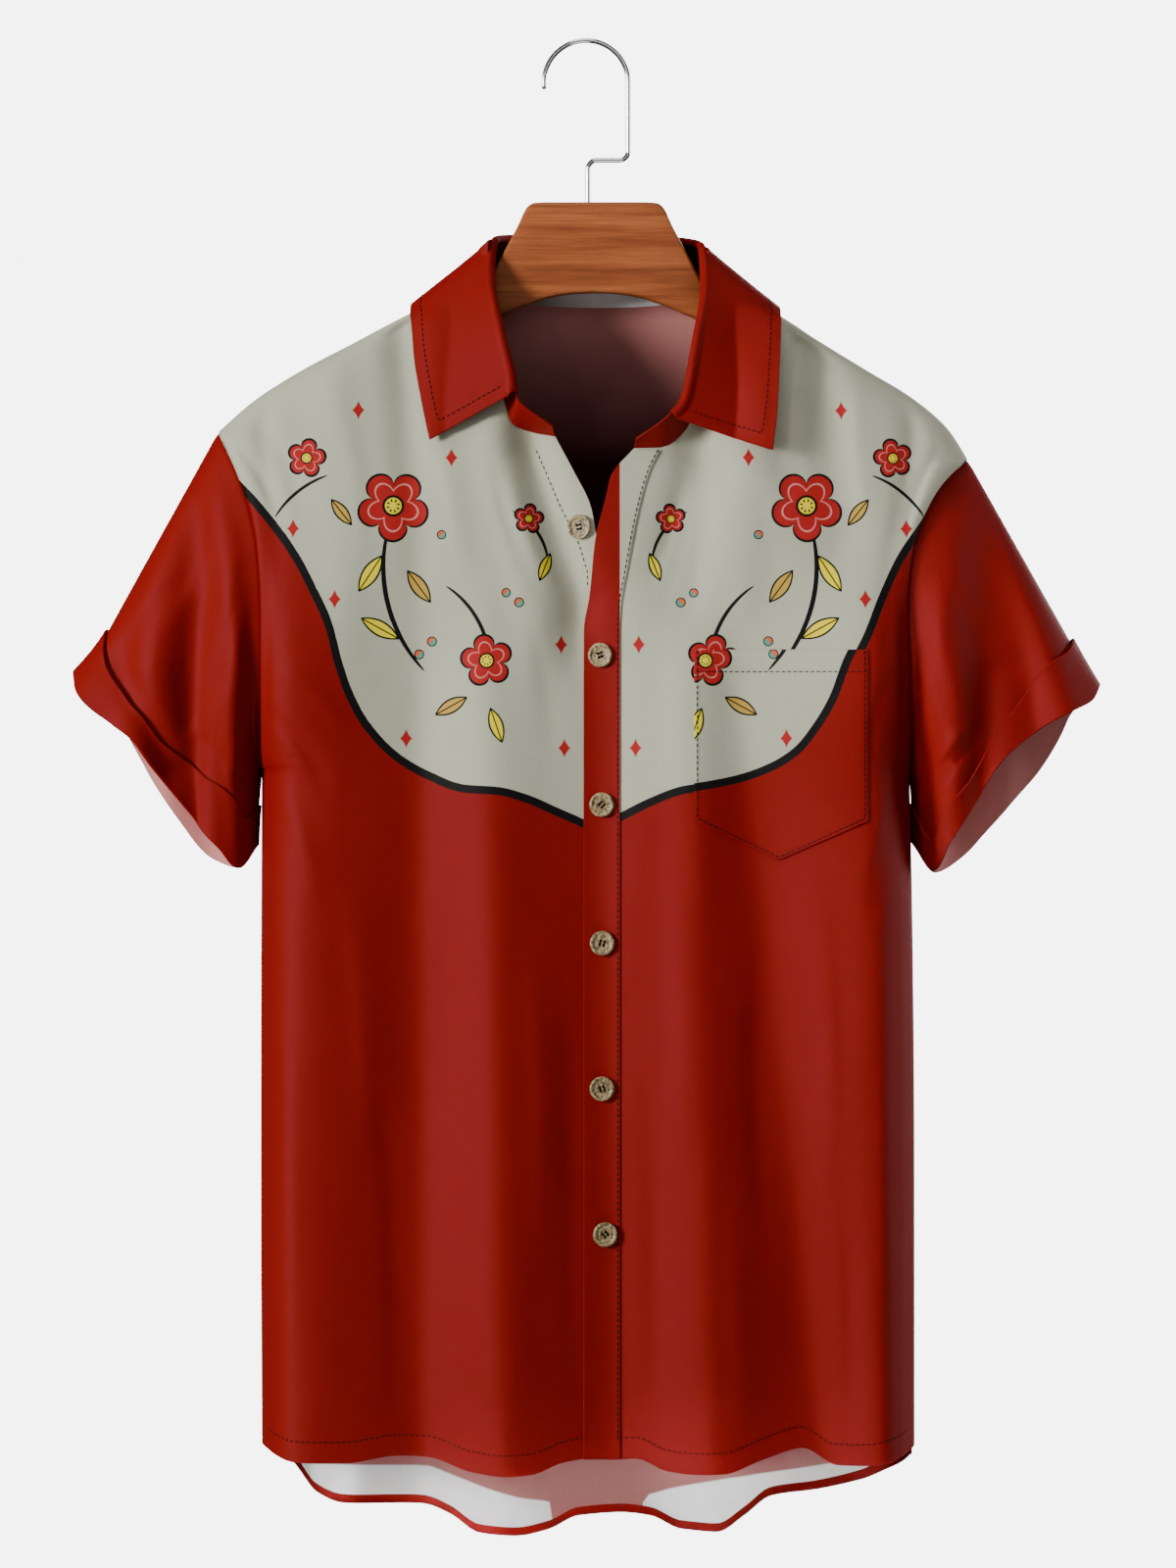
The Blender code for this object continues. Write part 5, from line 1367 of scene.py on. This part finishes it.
def makeBand():
    z = frontSurface(leftHalf)[:neckRow + 1, 0, 2].copy()
    z[-1] -= band["short"]
    inner, outer = column(leftHalf["edge"], 0, 1, z), column(bandEdge, 0, 1, z)
    x = inner[:, None] + (outer - inner)[:, None] * np.linspace(0, 1, 11)
    hem = column(frontHem, 0, 1, x)
    low = np.arange(len(z)) < grid["lowRows"]
    share = np.concatenate([lowShares, np.ones(len(z) - len(lowShares))])[:, None]
    height = np.where(low[:, None], hem + (cloth["armpit"] - hem) * share, z[:, None])
    points = onFront(x, height, band["lift"])
    mark = yokeMark(x, height, piping["left"])
    wall = facing(points, (0, -1, 0))
    pieces["front_band"] = shell(
        "front_band_cloth", points, -wall * band["wall"], [printLeft, redCloth, printLeft],
        bulge=0.3, marks={"yoke": mark},
    )


makeFronts()
makeBack()
makeSleeves()
leafPoints = makeCollar()
makePocket()
makeBand()
print("cloth ready", sum(len(piece.data.polygons) * 2 for piece in pieces.values()), "triangles")


# ---- topstitching


def plainMesh(obj):    # the evaluated shape as a plain mesh, with no modifier left
    bpy.context.view_layer.update()
    graph = bpy.context.evaluated_depsgraph_get()
    made = bpy.data.meshes.new_from_object(obj.evaluated_get(graph))
    obj.modifiers.clear()
    obj.data = made
    return obj


def setInputs(modifier, tree, values):
    for item in tree.interface.items_tree:
        if item.item_type == "SOCKET" and item.in_out == "INPUT" and item.name in values:
            modifier[item.identifier] = values[item.name]


def stitchTree(finish):    # short rounded stitches along every edge line of a mesh
    tree = bpy.data.node_groups.new("topstitch", "GeometryNodeTree")
    nodes = Nodes(tree)
    tree.interface.new_socket("Geometry", in_out="INPUT", socket_type="NodeSocketGeometry")
    for name in ("Pitch", "Stitch length", "Thread width"):
        tree.interface.new_socket(name, in_out="INPUT", socket_type="NodeSocketFloat")
    tree.interface.new_socket("Geometry", in_out="OUTPUT", socket_type="NodeSocketGeometry")
    given = nodes.add("NodeGroupInput").outputs
    line = nodes.add("GeometryNodeMeshToCurve", {0: given["Geometry"]}).outputs[0]
    places = nodes.add(
        "GeometryNodeCurveToPoints", {"Curve": line, "Length": given["Pitch"]}, mode="LENGTH"
    )
    bead = nodes.add("GeometryNodeMeshUVSphere", {"Segments": 6, "Rings": 5, "Radius": 0.5})
    uneven = nodes.add("FunctionNodeRandomValue", {"Seed": 7}, data_type="FLOAT")
    uneven.inputs[2].default_value = 0.9
    uneven.inputs[3].default_value = 1.08
    long = nodes.sum("MULTIPLY", given["Stitch length"], uneven.outputs[1])
    wide = given["Thread width"]
    size = nodes.add("ShaderNodeCombineXYZ", {0: wide, 1: wide, 2: long})
    rows = nodes.add(
        "GeometryNodeInstanceOnPoints",
        {
            "Points": places.outputs["Points"],
            "Instance": bead.outputs["Mesh"],
            "Rotation": places.outputs["Rotation"],
            "Scale": size.outputs[0],
        },
    )
    real = nodes.add("GeometryNodeRealizeInstances", {0: rows.outputs[0]})
    painted = nodes.add("GeometryNodeSetMaterial", {"Geometry": real.outputs[0], "Material": finish})
    smooth = nodes.add("GeometryNodeSetShadeSmooth", {"Geometry": painted.outputs[0]})
    end = nodes.add("NodeGroupOutput")
    nodes.feed(end.inputs[0], smooth.outputs[0])
    return tree


def threadFinish(name, tone):    # twisted thread
    made, nodes, shader = newFinish(name, 0.9, **{"Specular IOR Level": 0.05})
    inputs = {"Vector": nodes.place(), "Scale": 900.0, "Distortion": 1.0}
    twist = nodes.add("ShaderNodeTexWave", inputs, bands_direction="DIAGONAL").outputs["Fac"]
    nodes.feed(shader.inputs["Base Color"], nodes.mix(twist, tone, [2.0 * part for part in tone]))
    nodes.bump(shader, twist, 0.3, 0.0001)
    return made


thread = threadFinish("blackThread", tones["thread"])
stitching = stitchTree(thread)
stitch = {
    "pitch": 3.6, "length": 2.5, "width": 0.74, "lift": 0.18,
    "band": (-868, -257), "bandInset": 1.2,      # from this height to that one
    "placket": [(-239, -39.5), (-267.5, -27), (-294, -15.7), (-312.5, -6.3), (-333, 0.3)],    # height, x
    "placketEnds": (-341, -246),
    "mouthInset": 1.5,
    "hemRise": 13, "hemTo": 198, "hemFrom": {-1: -3, 1: 21},
    "collarInset": 8.0,
}


def topstitch(name, paths):
    points, edges = [], []
    for path in paths:
        first = sum(len(line) for line in points)
        points.append(np.asarray(path))
        edges += [(first + i, first + i + 1) for i in range(len(path) - 1)]
    mesh = bpy.data.meshes.new(name)
    mesh.from_pydata(np.concatenate(points) * mm, edges, [])
    obj = placed(name, mesh)
    modifier = obj.modifiers.new("stitches", "NODES")
    modifier.node_group = stitching
    names = {"Pitch": "pitch", "Stitch length": "length", "Thread width": "width"}
    setInputs(modifier, stitching, {name: stitch[key] * mm for name, key in names.items()})
    return plainMesh(obj)


def resampled(corners, step=2.0):    # an (x, height) line with points close together
    corners = np.array(corners, float)
    way = wayAlong(corners)
    at = np.linspace(0, way[-1], int(way[-1] / step) + 2)
    return joined(*[np.interp(at, way, corners[:, i]) for i in range(2)])


def stitchPaths():
    z = np.arange(*stitch["band"], 2.0)
    x = column(bandEdge, 0, 1, z) - stitch["bandInset"]
    bandLine = onFront(x, z, band["lift"] + stitch["lift"])
    lowest, highest = stitch["placketEnds"]
    z = z[(z > lowest) & (z < highest)]
    x = column(stitch["placket"], 0, 1, z)
    rightLine = joined(x, -bodyDepth(x, z, True) - stitch["lift"], z)
    inset = pocket["inset"]
    left, right = pocket["inner"] + inset, pocket["outer"] - inset
    top = pocket["top"] - stitch["mouthInset"]
    corners = [
        (left, top), (left, pocket["corner"] + inset), (pocket["point"][0], pocket["point"][1] + inset),
        (right, pocket["corner"] + inset), (right, top),
    ]
    bag = resampled(corners)
    mouth = resampled([(left, pocket["top"] - pocket["hem"]), (right, pocket["top"] - pocket["hem"])])
    lift = pocket["lift"] + stitch["lift"]
    pocketLines = [onFront(line[:, 0], line[:, 1], lift) for line in (bag, mouth)]
    hemLines = []
    for half in (rightHalf, leftHalf):
        x = np.linspace(stitch["hemFrom"][half["sign"]], half["sign"] * stitch["hemTo"], 110)
        height = column(frontHem, 0, 1, x) + stitch["hemRise"]
        lift = stitch["lift"] + (lapLift(x, height) if half["sign"] > 0 else 0)
        hemLines.append(joined(x, -bodyDepth(x, height, True) - lift, height))
    return bandLine, rightLine, pocketLines, hemLines


def inFrom(line, distance):    # the point this far along a line
    way = wayAlong(line)
    return [np.interp(distance, way, line[:, i]) for i in range(3)]


def leafStitches(points, inset):    # beside the leaf's front edges and its outer edge
    rows = points[13:]
    outer = np.array([inFrom(rows[::-1, i], inset) for i in range(points.shape[1])])
    sides = []
    for seen in (rows, rows[:, ::-1]):
        front = np.array([inFrom(row, inset) for row in seen])
        gap = np.linalg.norm(seen[-1, 0] - seen[:, 0], axis=1)
        sides.append(front[(gap > inset) & (np.arange(len(front)) > 2)])
    start, stop = (np.linalg.norm(outer - side[-1], axis=1).argmin() for side in sides)
    line = np.concatenate([sides[0], outer[start + 1:stop], sides[1][::-1]])
    return line + np.array([0, -1, 0]) * np.where(line[:, 1:2] < 0, stitch["lift"], -stitch["lift"])


bandLine, rightLine, pocketLines, hemLines = stitchPaths()
leafLine = leafStitches(leafPoints, stitch["collarInset"])
stitches = {
    "front_band": topstitch("band_stitches", [bandLine]),
    "front_right": topstitch("placket_stitches", [rightLine]),
    "pocket": topstitch("pocket_stitches", pocketLines),
    "front_left": topstitch("hem_stitches", hemLines),
    "collar_leaf": topstitch("collar_stitches", [leafLine]),
}
print("stitches ready")


# ---- buttons

button = {
    "radius": 7.6, "thick": 2.8, "dish": 0.9, "rim": 1.6, "hole": 0.95, "holeOut": 1.75, "gap": 0.35,
    "open": (-4.0, -305.0),
    "closed": [(8.6, -384.5), (9.2, -477.0), (9.4, -562.5), (9.0, -652.5), (11.0, -742.5)],
}


def hornFinish():    # mottled horn with dark streaks
    made, nodes, shader = newFinish("buttonHorn", 0.38)
    mottle = nodes.noise(nodes.place(), 620.0, 5.0, 0.62)
    stops = [
        (0.36, (0.050, 0.033, 0.014)), (0.47, (0.19, 0.134, 0.058)), (0.58, (0.38, 0.290, 0.140)),
        (0.70, (0.56, 0.47, 0.27)),
    ]
    nodes.feed(shader.inputs["Base Color"], nodes.ramp(mottle, stops))
    nodes.bump(shader, mottle, 0.35, 0.0003)
    return made


def lathe(profile, steps):
    mesh = bpy.data.meshes.new("lathe")
    shape = bmesh.new()
    corners = [shape.verts.new((radius * mm, 0, height * mm)) for radius, height in profile]
    edges = [shape.edges.new(pair) for pair in zip(corners, corners[1:])]
    bmesh.ops.spin(
        shape, geom=corners + edges, axis=(0, 0, 1), angle=math.tau, steps=steps, use_merge=True
    )
    bmesh.ops.remove_doubles(shape, verts=shape.verts, dist=1e-6)
    bmesh.ops.recalc_face_normals(shape, faces=shape.faces)
    shape.to_mesh(mesh)
    shape.free()
    return mesh


def buttonMesh(horn):
    r, t, rim, dish = button["radius"], button["thick"], button["rim"], button["dish"]
    turns = np.linspace(math.pi / 2, 0, 6)
    arc = [(r - 0.9 + 0.9 * math.sin(a), t - 0.9 + 0.9 * math.cos(a)) for a in turns]
    profile = [(0, 0), (r - 0.9, 0), (r - 0.25, 0.25), (r, 0.9)] + arc[1:]
    profile += [(r - rim, t - 0.05), (r - rim - 0.35, t - 0.35), (r - rim - 0.8, t - dish + 0.08)]
    profile += [(r - rim - 1.3, t - dish), (3.9, t - dish), (3.6, t - dish + 0.28), (3.3, t - dish)]
    profile += [(0, t - dish - 0.1)]
    body = placed("button", lathe(profile, 48))
    cutters = bmesh.new()
    for turn in range(4):
        angle = math.pi / 4 + turn * math.pi / 2
        middle = Vector((math.cos(angle), math.sin(angle), 0)) * button["holeOut"] * mm
        radius = button["hole"] * mm
        bmesh.ops.create_cone(
            cutters, cap_ends=True, segments=14, radius1=radius, radius2=radius, depth=12 * mm,
            matrix=Matrix.Translation(middle),
        )
    drill = bpy.data.meshes.new("drill")
    cutters.to_mesh(drill)
    cutters.free()
    tool = placed("drill", drill)
    cut = body.modifiers.new("holes", "BOOLEAN")
    cut.object = tool
    plainMesh(body)
    bpy.data.objects.remove(tool)
    mesh = body.data
    bpy.data.objects.remove(body)
    mesh.materials.clear()
    mesh.materials.append(horn)
    mesh.shade_smooth()
    mesh.set_sharp_from_angle(angle=math.radians(38))
    return mesh


def buttonThread():    # two bars of thread between the holes
    shape = bmesh.new()
    half = button["holeOut"] / math.sqrt(2)
    for side in (-1, 1):
        for strand in (-0.28, 0.28):
            middle = Vector((0, side * half + strand, button["thick"] - button["dish"] + 0.12)) * mm
            size = Vector((2 * half + 1.0, 0.5, 0.5)) * mm
            bmesh.ops.create_uvsphere(
                shape, u_segments=10, v_segments=6, radius=0.5,
                matrix=Matrix.Translation(middle) @ Matrix.Diagonal((*size, 1)),
            )
    mesh = bpy.data.meshes.new("buttonThread")
    shape.to_mesh(mesh)
    shape.free()
    mesh.materials.append(thread)
    mesh.shade_smooth()
    return mesh


def makeButtons():
    horn = hornFinish()
    shapes = (("button_%d_horn", buttonMesh(horn)), ("button_%d_thread", buttonThread()))
    places = [(button["open"], 0.0, 0.2)] + [
        (place, band["lift"], 0.5 * i + 0.3) for i, place in enumerate(button["closed"])
    ]
    turn = np.linspace(0, math.tau, 17)[:-1]
    for number, ((x, z), lift, spin) in enumerate(places, 1):
        ring = button["radius"] * np.stack([np.cos(turn), np.sin(turn)])
        near = onFront(x + ring[0], z + ring[1], lift)
        if number == 1:
            near[:, 1] = -bodyDepth(x + ring[0], z + ring[1], True)
        middle = near.mean(axis=0)
        right, up = unit(near[0] - near[8]), unit(near[4] - near[12])
        out = unit(np.cross(right, up))
        up = np.cross(out, right)
        seat = ((near - middle) @ out).max() + button["gap"]
        pose = Matrix([[*(float(v[i]) for v in (right, up, out)), 0] for i in range(3)] + [(0, 0, 0, 1)])
        there = Matrix.Translation(Vector(middle + out * seat) * mm)
        pose = there @ pose @ Matrix.Rotation(spin, 4, "Z")
        for pattern, shape in shapes:
            mesh = shape.copy()
            mesh.transform(pose)
            pieces[pattern % number] = placed(pattern % number, mesh)


makeButtons()
print("buttons ready")


# ---- hanger

hanger = {
    "middle": 5.0,
    # distance from the middle, top, bottom, thickness, corner radius
    "block": [
        (0, -100.0, -156.5, 14, 3.0), (14, -100.0, -157.2, 14, 3.0), (28, -100.0, -159.5, 14, 3.0),
        (38, -100.4, -162.5, 14, 3.0), (42, -102.5, -164.0, 14, 3.0), (49, -116.0, -166.8, 14, 3.2),
        (56, -129.0, -170.0, 14, 3.6), (62, -140.5, -172.5, 13.5, 4.5), (67, -149.5, -175.5, 13.0, 4.5),
        (73, -158.5, -180.0, 13.0, 4.5),
    ],
    "armEnd": 206.0, "armHeight": (26.0, 19.0), "armThick": (13.0, 12.0), "armSeat": 3.0, "armRound": 4.5,
    # the arm's rounded tip: how far out, down, up and thinner, and the corner radius
    "armTip": [(2, 1.6, 1.2, 1.6, 4.2), (3, 4.5, 3, 5, 3.4)],
}
hook = {
    "wire": 3.2, "middle": -0.6, "radius": 26.4, "step": -73.4, "stem": 0.6, "bend": 5.5, "socket": 18.0,
    "tip": math.radians(186),
}


def roundedSection(x, top, bottom, thick, corner, steps=7):
    ring = []
    for quarter in range(4):
        middleY = (thick / 2 - corner) * (1 if quarter in (0, 3) else -1)
        middleZ = (top - corner) if quarter in (0, 1) else (bottom + corner)
        for turn in np.linspace(quarter, quarter + 1, steps + 1) * math.pi / 2:
            ring.append((x, middleY + corner * math.cos(turn), middleZ + corner * math.sin(turn)))
    return ring


def tubeFaces(count, around):    # between this many rings
    faces = []
    for low in range(0, (count - 1) * around, around):
        for k in range(around):
            following = (k + 1) % around
            faces.append([low + k, low + following, low + around + following, low + around + k])
    return faces


def loft(name, rings, finish):
    rings = np.asarray(rings)
    count, around = rings.shape[:2]
    faces = tubeFaces(count, around)
    faces.append(list(reversed(range(around))))
    faces.append([(count - 1) * around + k for k in range(around)])
    mesh = bpy.data.meshes.new(name)
    mesh.from_pydata(rings.reshape(-1, 3) * mm, [], faces)
    shape = bmesh.new()
    shape.from_mesh(mesh)
    bmesh.ops.recalc_face_normals(shape, faces=shape.faces)
    shape.to_mesh(mesh)
    shape.free()
    mesh.materials.append(finish)
    mesh.shade_smooth()
    mesh.set_sharp_from_angle(angle=math.radians(40))
    return placed(name, mesh)


def woodFinish():    # oiled wood, its grain running along the hanger
    gloss = {"Coat Weight": 0.08, "Coat Roughness": 0.3, "Specular IOR Level": 0.25}
    made, nodes, shader = newFinish("hangerWood", 0.5, **gloss)
    place = nodes.place()
    bands = nodes.noise(place, (9, 60, 160), 6.0, 0.6)
    fibres = nodes.noise(place, (45, 900, 1500), 3.0)
    flecks = nodes.noise(place, (150, 900, 2600), 2.0)
    stops = [
        (0.30, (0.17, 0.036, 0.008)), (0.46, (0.27, 0.064, 0.014)), (0.58, (0.35, 0.090, 0.021)),
        (0.72, (0.43, 0.125, 0.034)),
    ]
    colour = nodes.shaded(nodes.ramp(bands, stops), nodes.ranged(fibres, 0.3, 0.7, 0.82, 1.12))
    colour = nodes.mix((flecks > 0.67) * 0.45, colour, (0.10, 0.03, 0.01))
    nodes.feed(shader.inputs["Base Color"], colour)
    nodes.bump(shader, fibres, 0.12, 0.0004)
    return made


def makeHanger():
    sections = []
    for half in (rightHalf, leftHalf):
        first = abs(hanger["middle"] + half["sign"] * hanger["block"][-1][0])
        arm = []
        for x in np.linspace(first, hanger["armEnd"], 40)[1:]:
            share = (x - first) / (hanger["armEnd"] - first)
            top = column(half["shoulder"], 0, 1, x) - hanger["armSeat"]
            height = np.interp(share, (0, 1), hanger["armHeight"])
            thick = np.interp(share, (0, 1), hanger["armThick"])
            arm.append((half["sign"] * x, top, top - height, thick, hanger["armRound"]))
        x, top, bottom, thick, _ = arm[-1]
        for out, down, up, thinner, corner in hanger["armTip"]:
            arm.append((x + half["sign"] * out, top - down, bottom + up, thick - thinner, corner))
        at = np.unique(np.concatenate([np.linspace(0, 73, 50), [38, 40, 42]]))
        rows = [column(hanger["block"], 0, i, at) for i in (1, 2, 3, 4)]
        block = [(hanger["middle"] + half["sign"] * x, *row) for x, *row in zip(at, *rows)]
        sections += block[(0 if half["sign"] < 0 else 1):] + arm
    sections.sort(key=lambda row: row[0])
    shapes = [roundedSection(*row) for row in sections]
    pieces["hanger_body"] = loft("hanger_wood", shapes, woodFinish())


def arcPoints(centre, radius, start, end, steps):
    turn = np.linspace(start, end, steps + 1)
    return [(centre[0] + radius * math.cos(t), centre[1] + radius * math.sin(t)) for t in turn]


def chromeFinish():
    made, nodes, shader = newFinish("hookChrome", 0.14, **{"Metallic": 1.0})
    marks = nodes.noise(nodes.place(), 260.0, 3.0)
    nodes.feed(shader.inputs["Base Color"], nodes.mix(marks, (0.60, 0.60, 0.61), (0.78, 0.78, 0.79)))
    nodes.bump(shader, marks, 0.05, 0.0002)
    return made


def makeHook():
    upright, bend = hook["middle"] + hook["radius"], hook["bend"]
    height = hook["wire"] / 2 - hook["radius"]
    path = arcPoints((hook["middle"], height), hook["radius"], hook["tip"], 0, 64)
    path += arcPoints((upright - bend, hook["step"] + bend), bend, 0, -math.pi / 2, 14)
    path += arcPoints((hook["stem"] + bend, hook["step"] - bend), bend, math.pi / 2, math.pi, 14)
    path.append((hook["stem"], -100.0 - hook["socket"] + 0.5))
    path = np.array(path)
    line = unit(np.gradient(path, axis=0))
    line[0], line[-1] = unit(path[1] - path[0]), (0, -1)
    side = joined(line[:, 1], -line[:, 0])
    turn = np.linspace(0, math.tau, 21)[:-1]
    radii = np.full(len(path), hook["wire"] / 2)
    rings = []
    for cap in np.linspace(0, 1, 6)[:-1]:    # the rounded tip
        start = path[0] - line[0] * radii[0] * math.cos(cap * math.pi / 2)
        rings.append((start, side[0], radii[0] * max(math.sin(cap * math.pi / 2), 0.05)))
    rings += list(zip(path, side, radii))
    shapes = []
    for point, across, radius in rings:
        x, z = (point[i] + radius * np.cos(turn) * across[i] for i in (0, 1))
        shapes.append(joined(x, radius * np.sin(turn), z))
    pieces["hanger_hook"] = loft("hook_wire", shapes, chromeFinish())


makeHanger()
makeHook()
print("hanger ready")


# ---- what each piece is

for name, piece in pieces.items():
    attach(piece, "root")
    if name.startswith("button_"):
        if name.endswith("_horn"):
            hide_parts(name[:-5])
        continue
    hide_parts(name)
for piece in stitches.values():
    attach(piece, "root")
print("pieces named")


# ---- camera, lights and stage

studio = {
    "distance": 4.0, "centre": (0.0006, -0.4642), "viewHeight": 0.9824,
    "wall": 6.5, "floor": -1.6, "ceiling": 6.0, "bend": 0.9, "backdrop": 6.2, "fill": 0.10,
}
lights = {    # place, size across and up, power, what it aims at, spread in degrees
    "key": ((-3.3, -2.35, 0.3), (1.1, 1.1), 235, (0, 0, -0.45), 180),
    "edge": ((3.6, 0.7, 0.1), (1.6, 1.6), 66, (0, 0, -0.5), 180),
    "front": ((0.6, -3.6, 0.9), (2.0, 2.0), 14, (0, 0, -0.3), 180),
    "low": ((0.5, -1.9, -3.0), (1.6, 1.6), 20, (0, 0, -0.75), 180),
    "hem": ((-0.8, -0.9, -1.25), (0.4, 0.05), 0.16, (0, 0.055, -0.92), 9),
    "side": ((-1.4, -3.0, 0.1), (0.5, 0.5), 0.22, (0.32, 0, -0.42), 8),
    "top": ((-0.2, -0.9, 2.3), (1.2, 1.2), 22, (0, 0, -0.3), 180),
    "back": ((1.6, 3.2, 0.5), (2.0, 2.0), 70, (0, 0, -0.45), 180),
}


def makeStudio():
    camera = placed("camera", bpy.data.cameras.new("camera"))
    camera.location = (studio["centre"][0], -studio["distance"], studio["centre"][1])
    camera.rotation_euler = (math.pi / 2, 0, 0)
    camera.data.lens = 36 * studio["distance"] / studio["viewHeight"]
    camera.data.clip_end = 60
    bpy.context.scene.camera = camera
    for name, (place, size, power, aim, spread) in lights.items():
        lamp = bpy.data.lights.new(name, "AREA")
        lamp.shape = "ELLIPSE"
        lamp.size, lamp.size_y = size
        lamp.energy = power
        lamp.spread = math.radians(spread)
        obj = placed(name, lamp)
        obj.location = place
        obj.rotation_euler = (Vector(aim) - Vector(place)).to_track_quat("-Z", "Y").to_euler()
    world = bpy.data.worlds.new("studio")
    bpy.context.scene.world = world
    world.use_nodes = True
    sky = world.node_tree.nodes["Background"].inputs
    sky[0].default_value = (0.93, 0.95, 1.0, 1)
    sky[1].default_value = studio["fill"]
    radius, low, high, bend = (studio[key] for key in ("wall", "floor", "ceiling", "bend"))
    quarter = np.linspace(0, math.pi / 2, 13)
    corner = [(radius - bend + bend * math.sin(a), bend * (1 - math.cos(a))) for a in quarter]
    profile = [(0.001, low)] + [(r, low + rise) for r, rise in corner]
    profile += [(r, high - rise) for r, rise in reversed(corner)] + [(0.001, high)]
    around = 64
    turns = [math.tau * k / around for k in range(around)]
    points = [(r * math.cos(t), r * math.sin(t), z) for r, z in profile for t in turns]
    faces = tubeFaces(len(profile), around)
    mesh = bpy.data.meshes.new("backdrop")
    mesh.from_pydata(points, [], faces)
    paper = bpy.data.materials.new("backdropPaper")
    paper.use_nodes = True
    shader = paper.node_tree.nodes["Principled BSDF"]
    shader.inputs["Base Color"].default_value = (0.02, 0.02, 0.02, 1)
    shader.inputs["Roughness"].default_value = 1.0
    shader.inputs["Emission Color"].default_value = (1.0, 1.0, 1.0, 1)
    shader.inputs["Emission Strength"].default_value = studio["backdrop"]
    mesh.materials.append(paper)
    backdrop = placed("backdrop", mesh)
    backdrop.visible_diffuse = False
    backdrop.visible_glossy = False
    backdrop.visible_shadow = False


makeStudio()
print("scene ready")
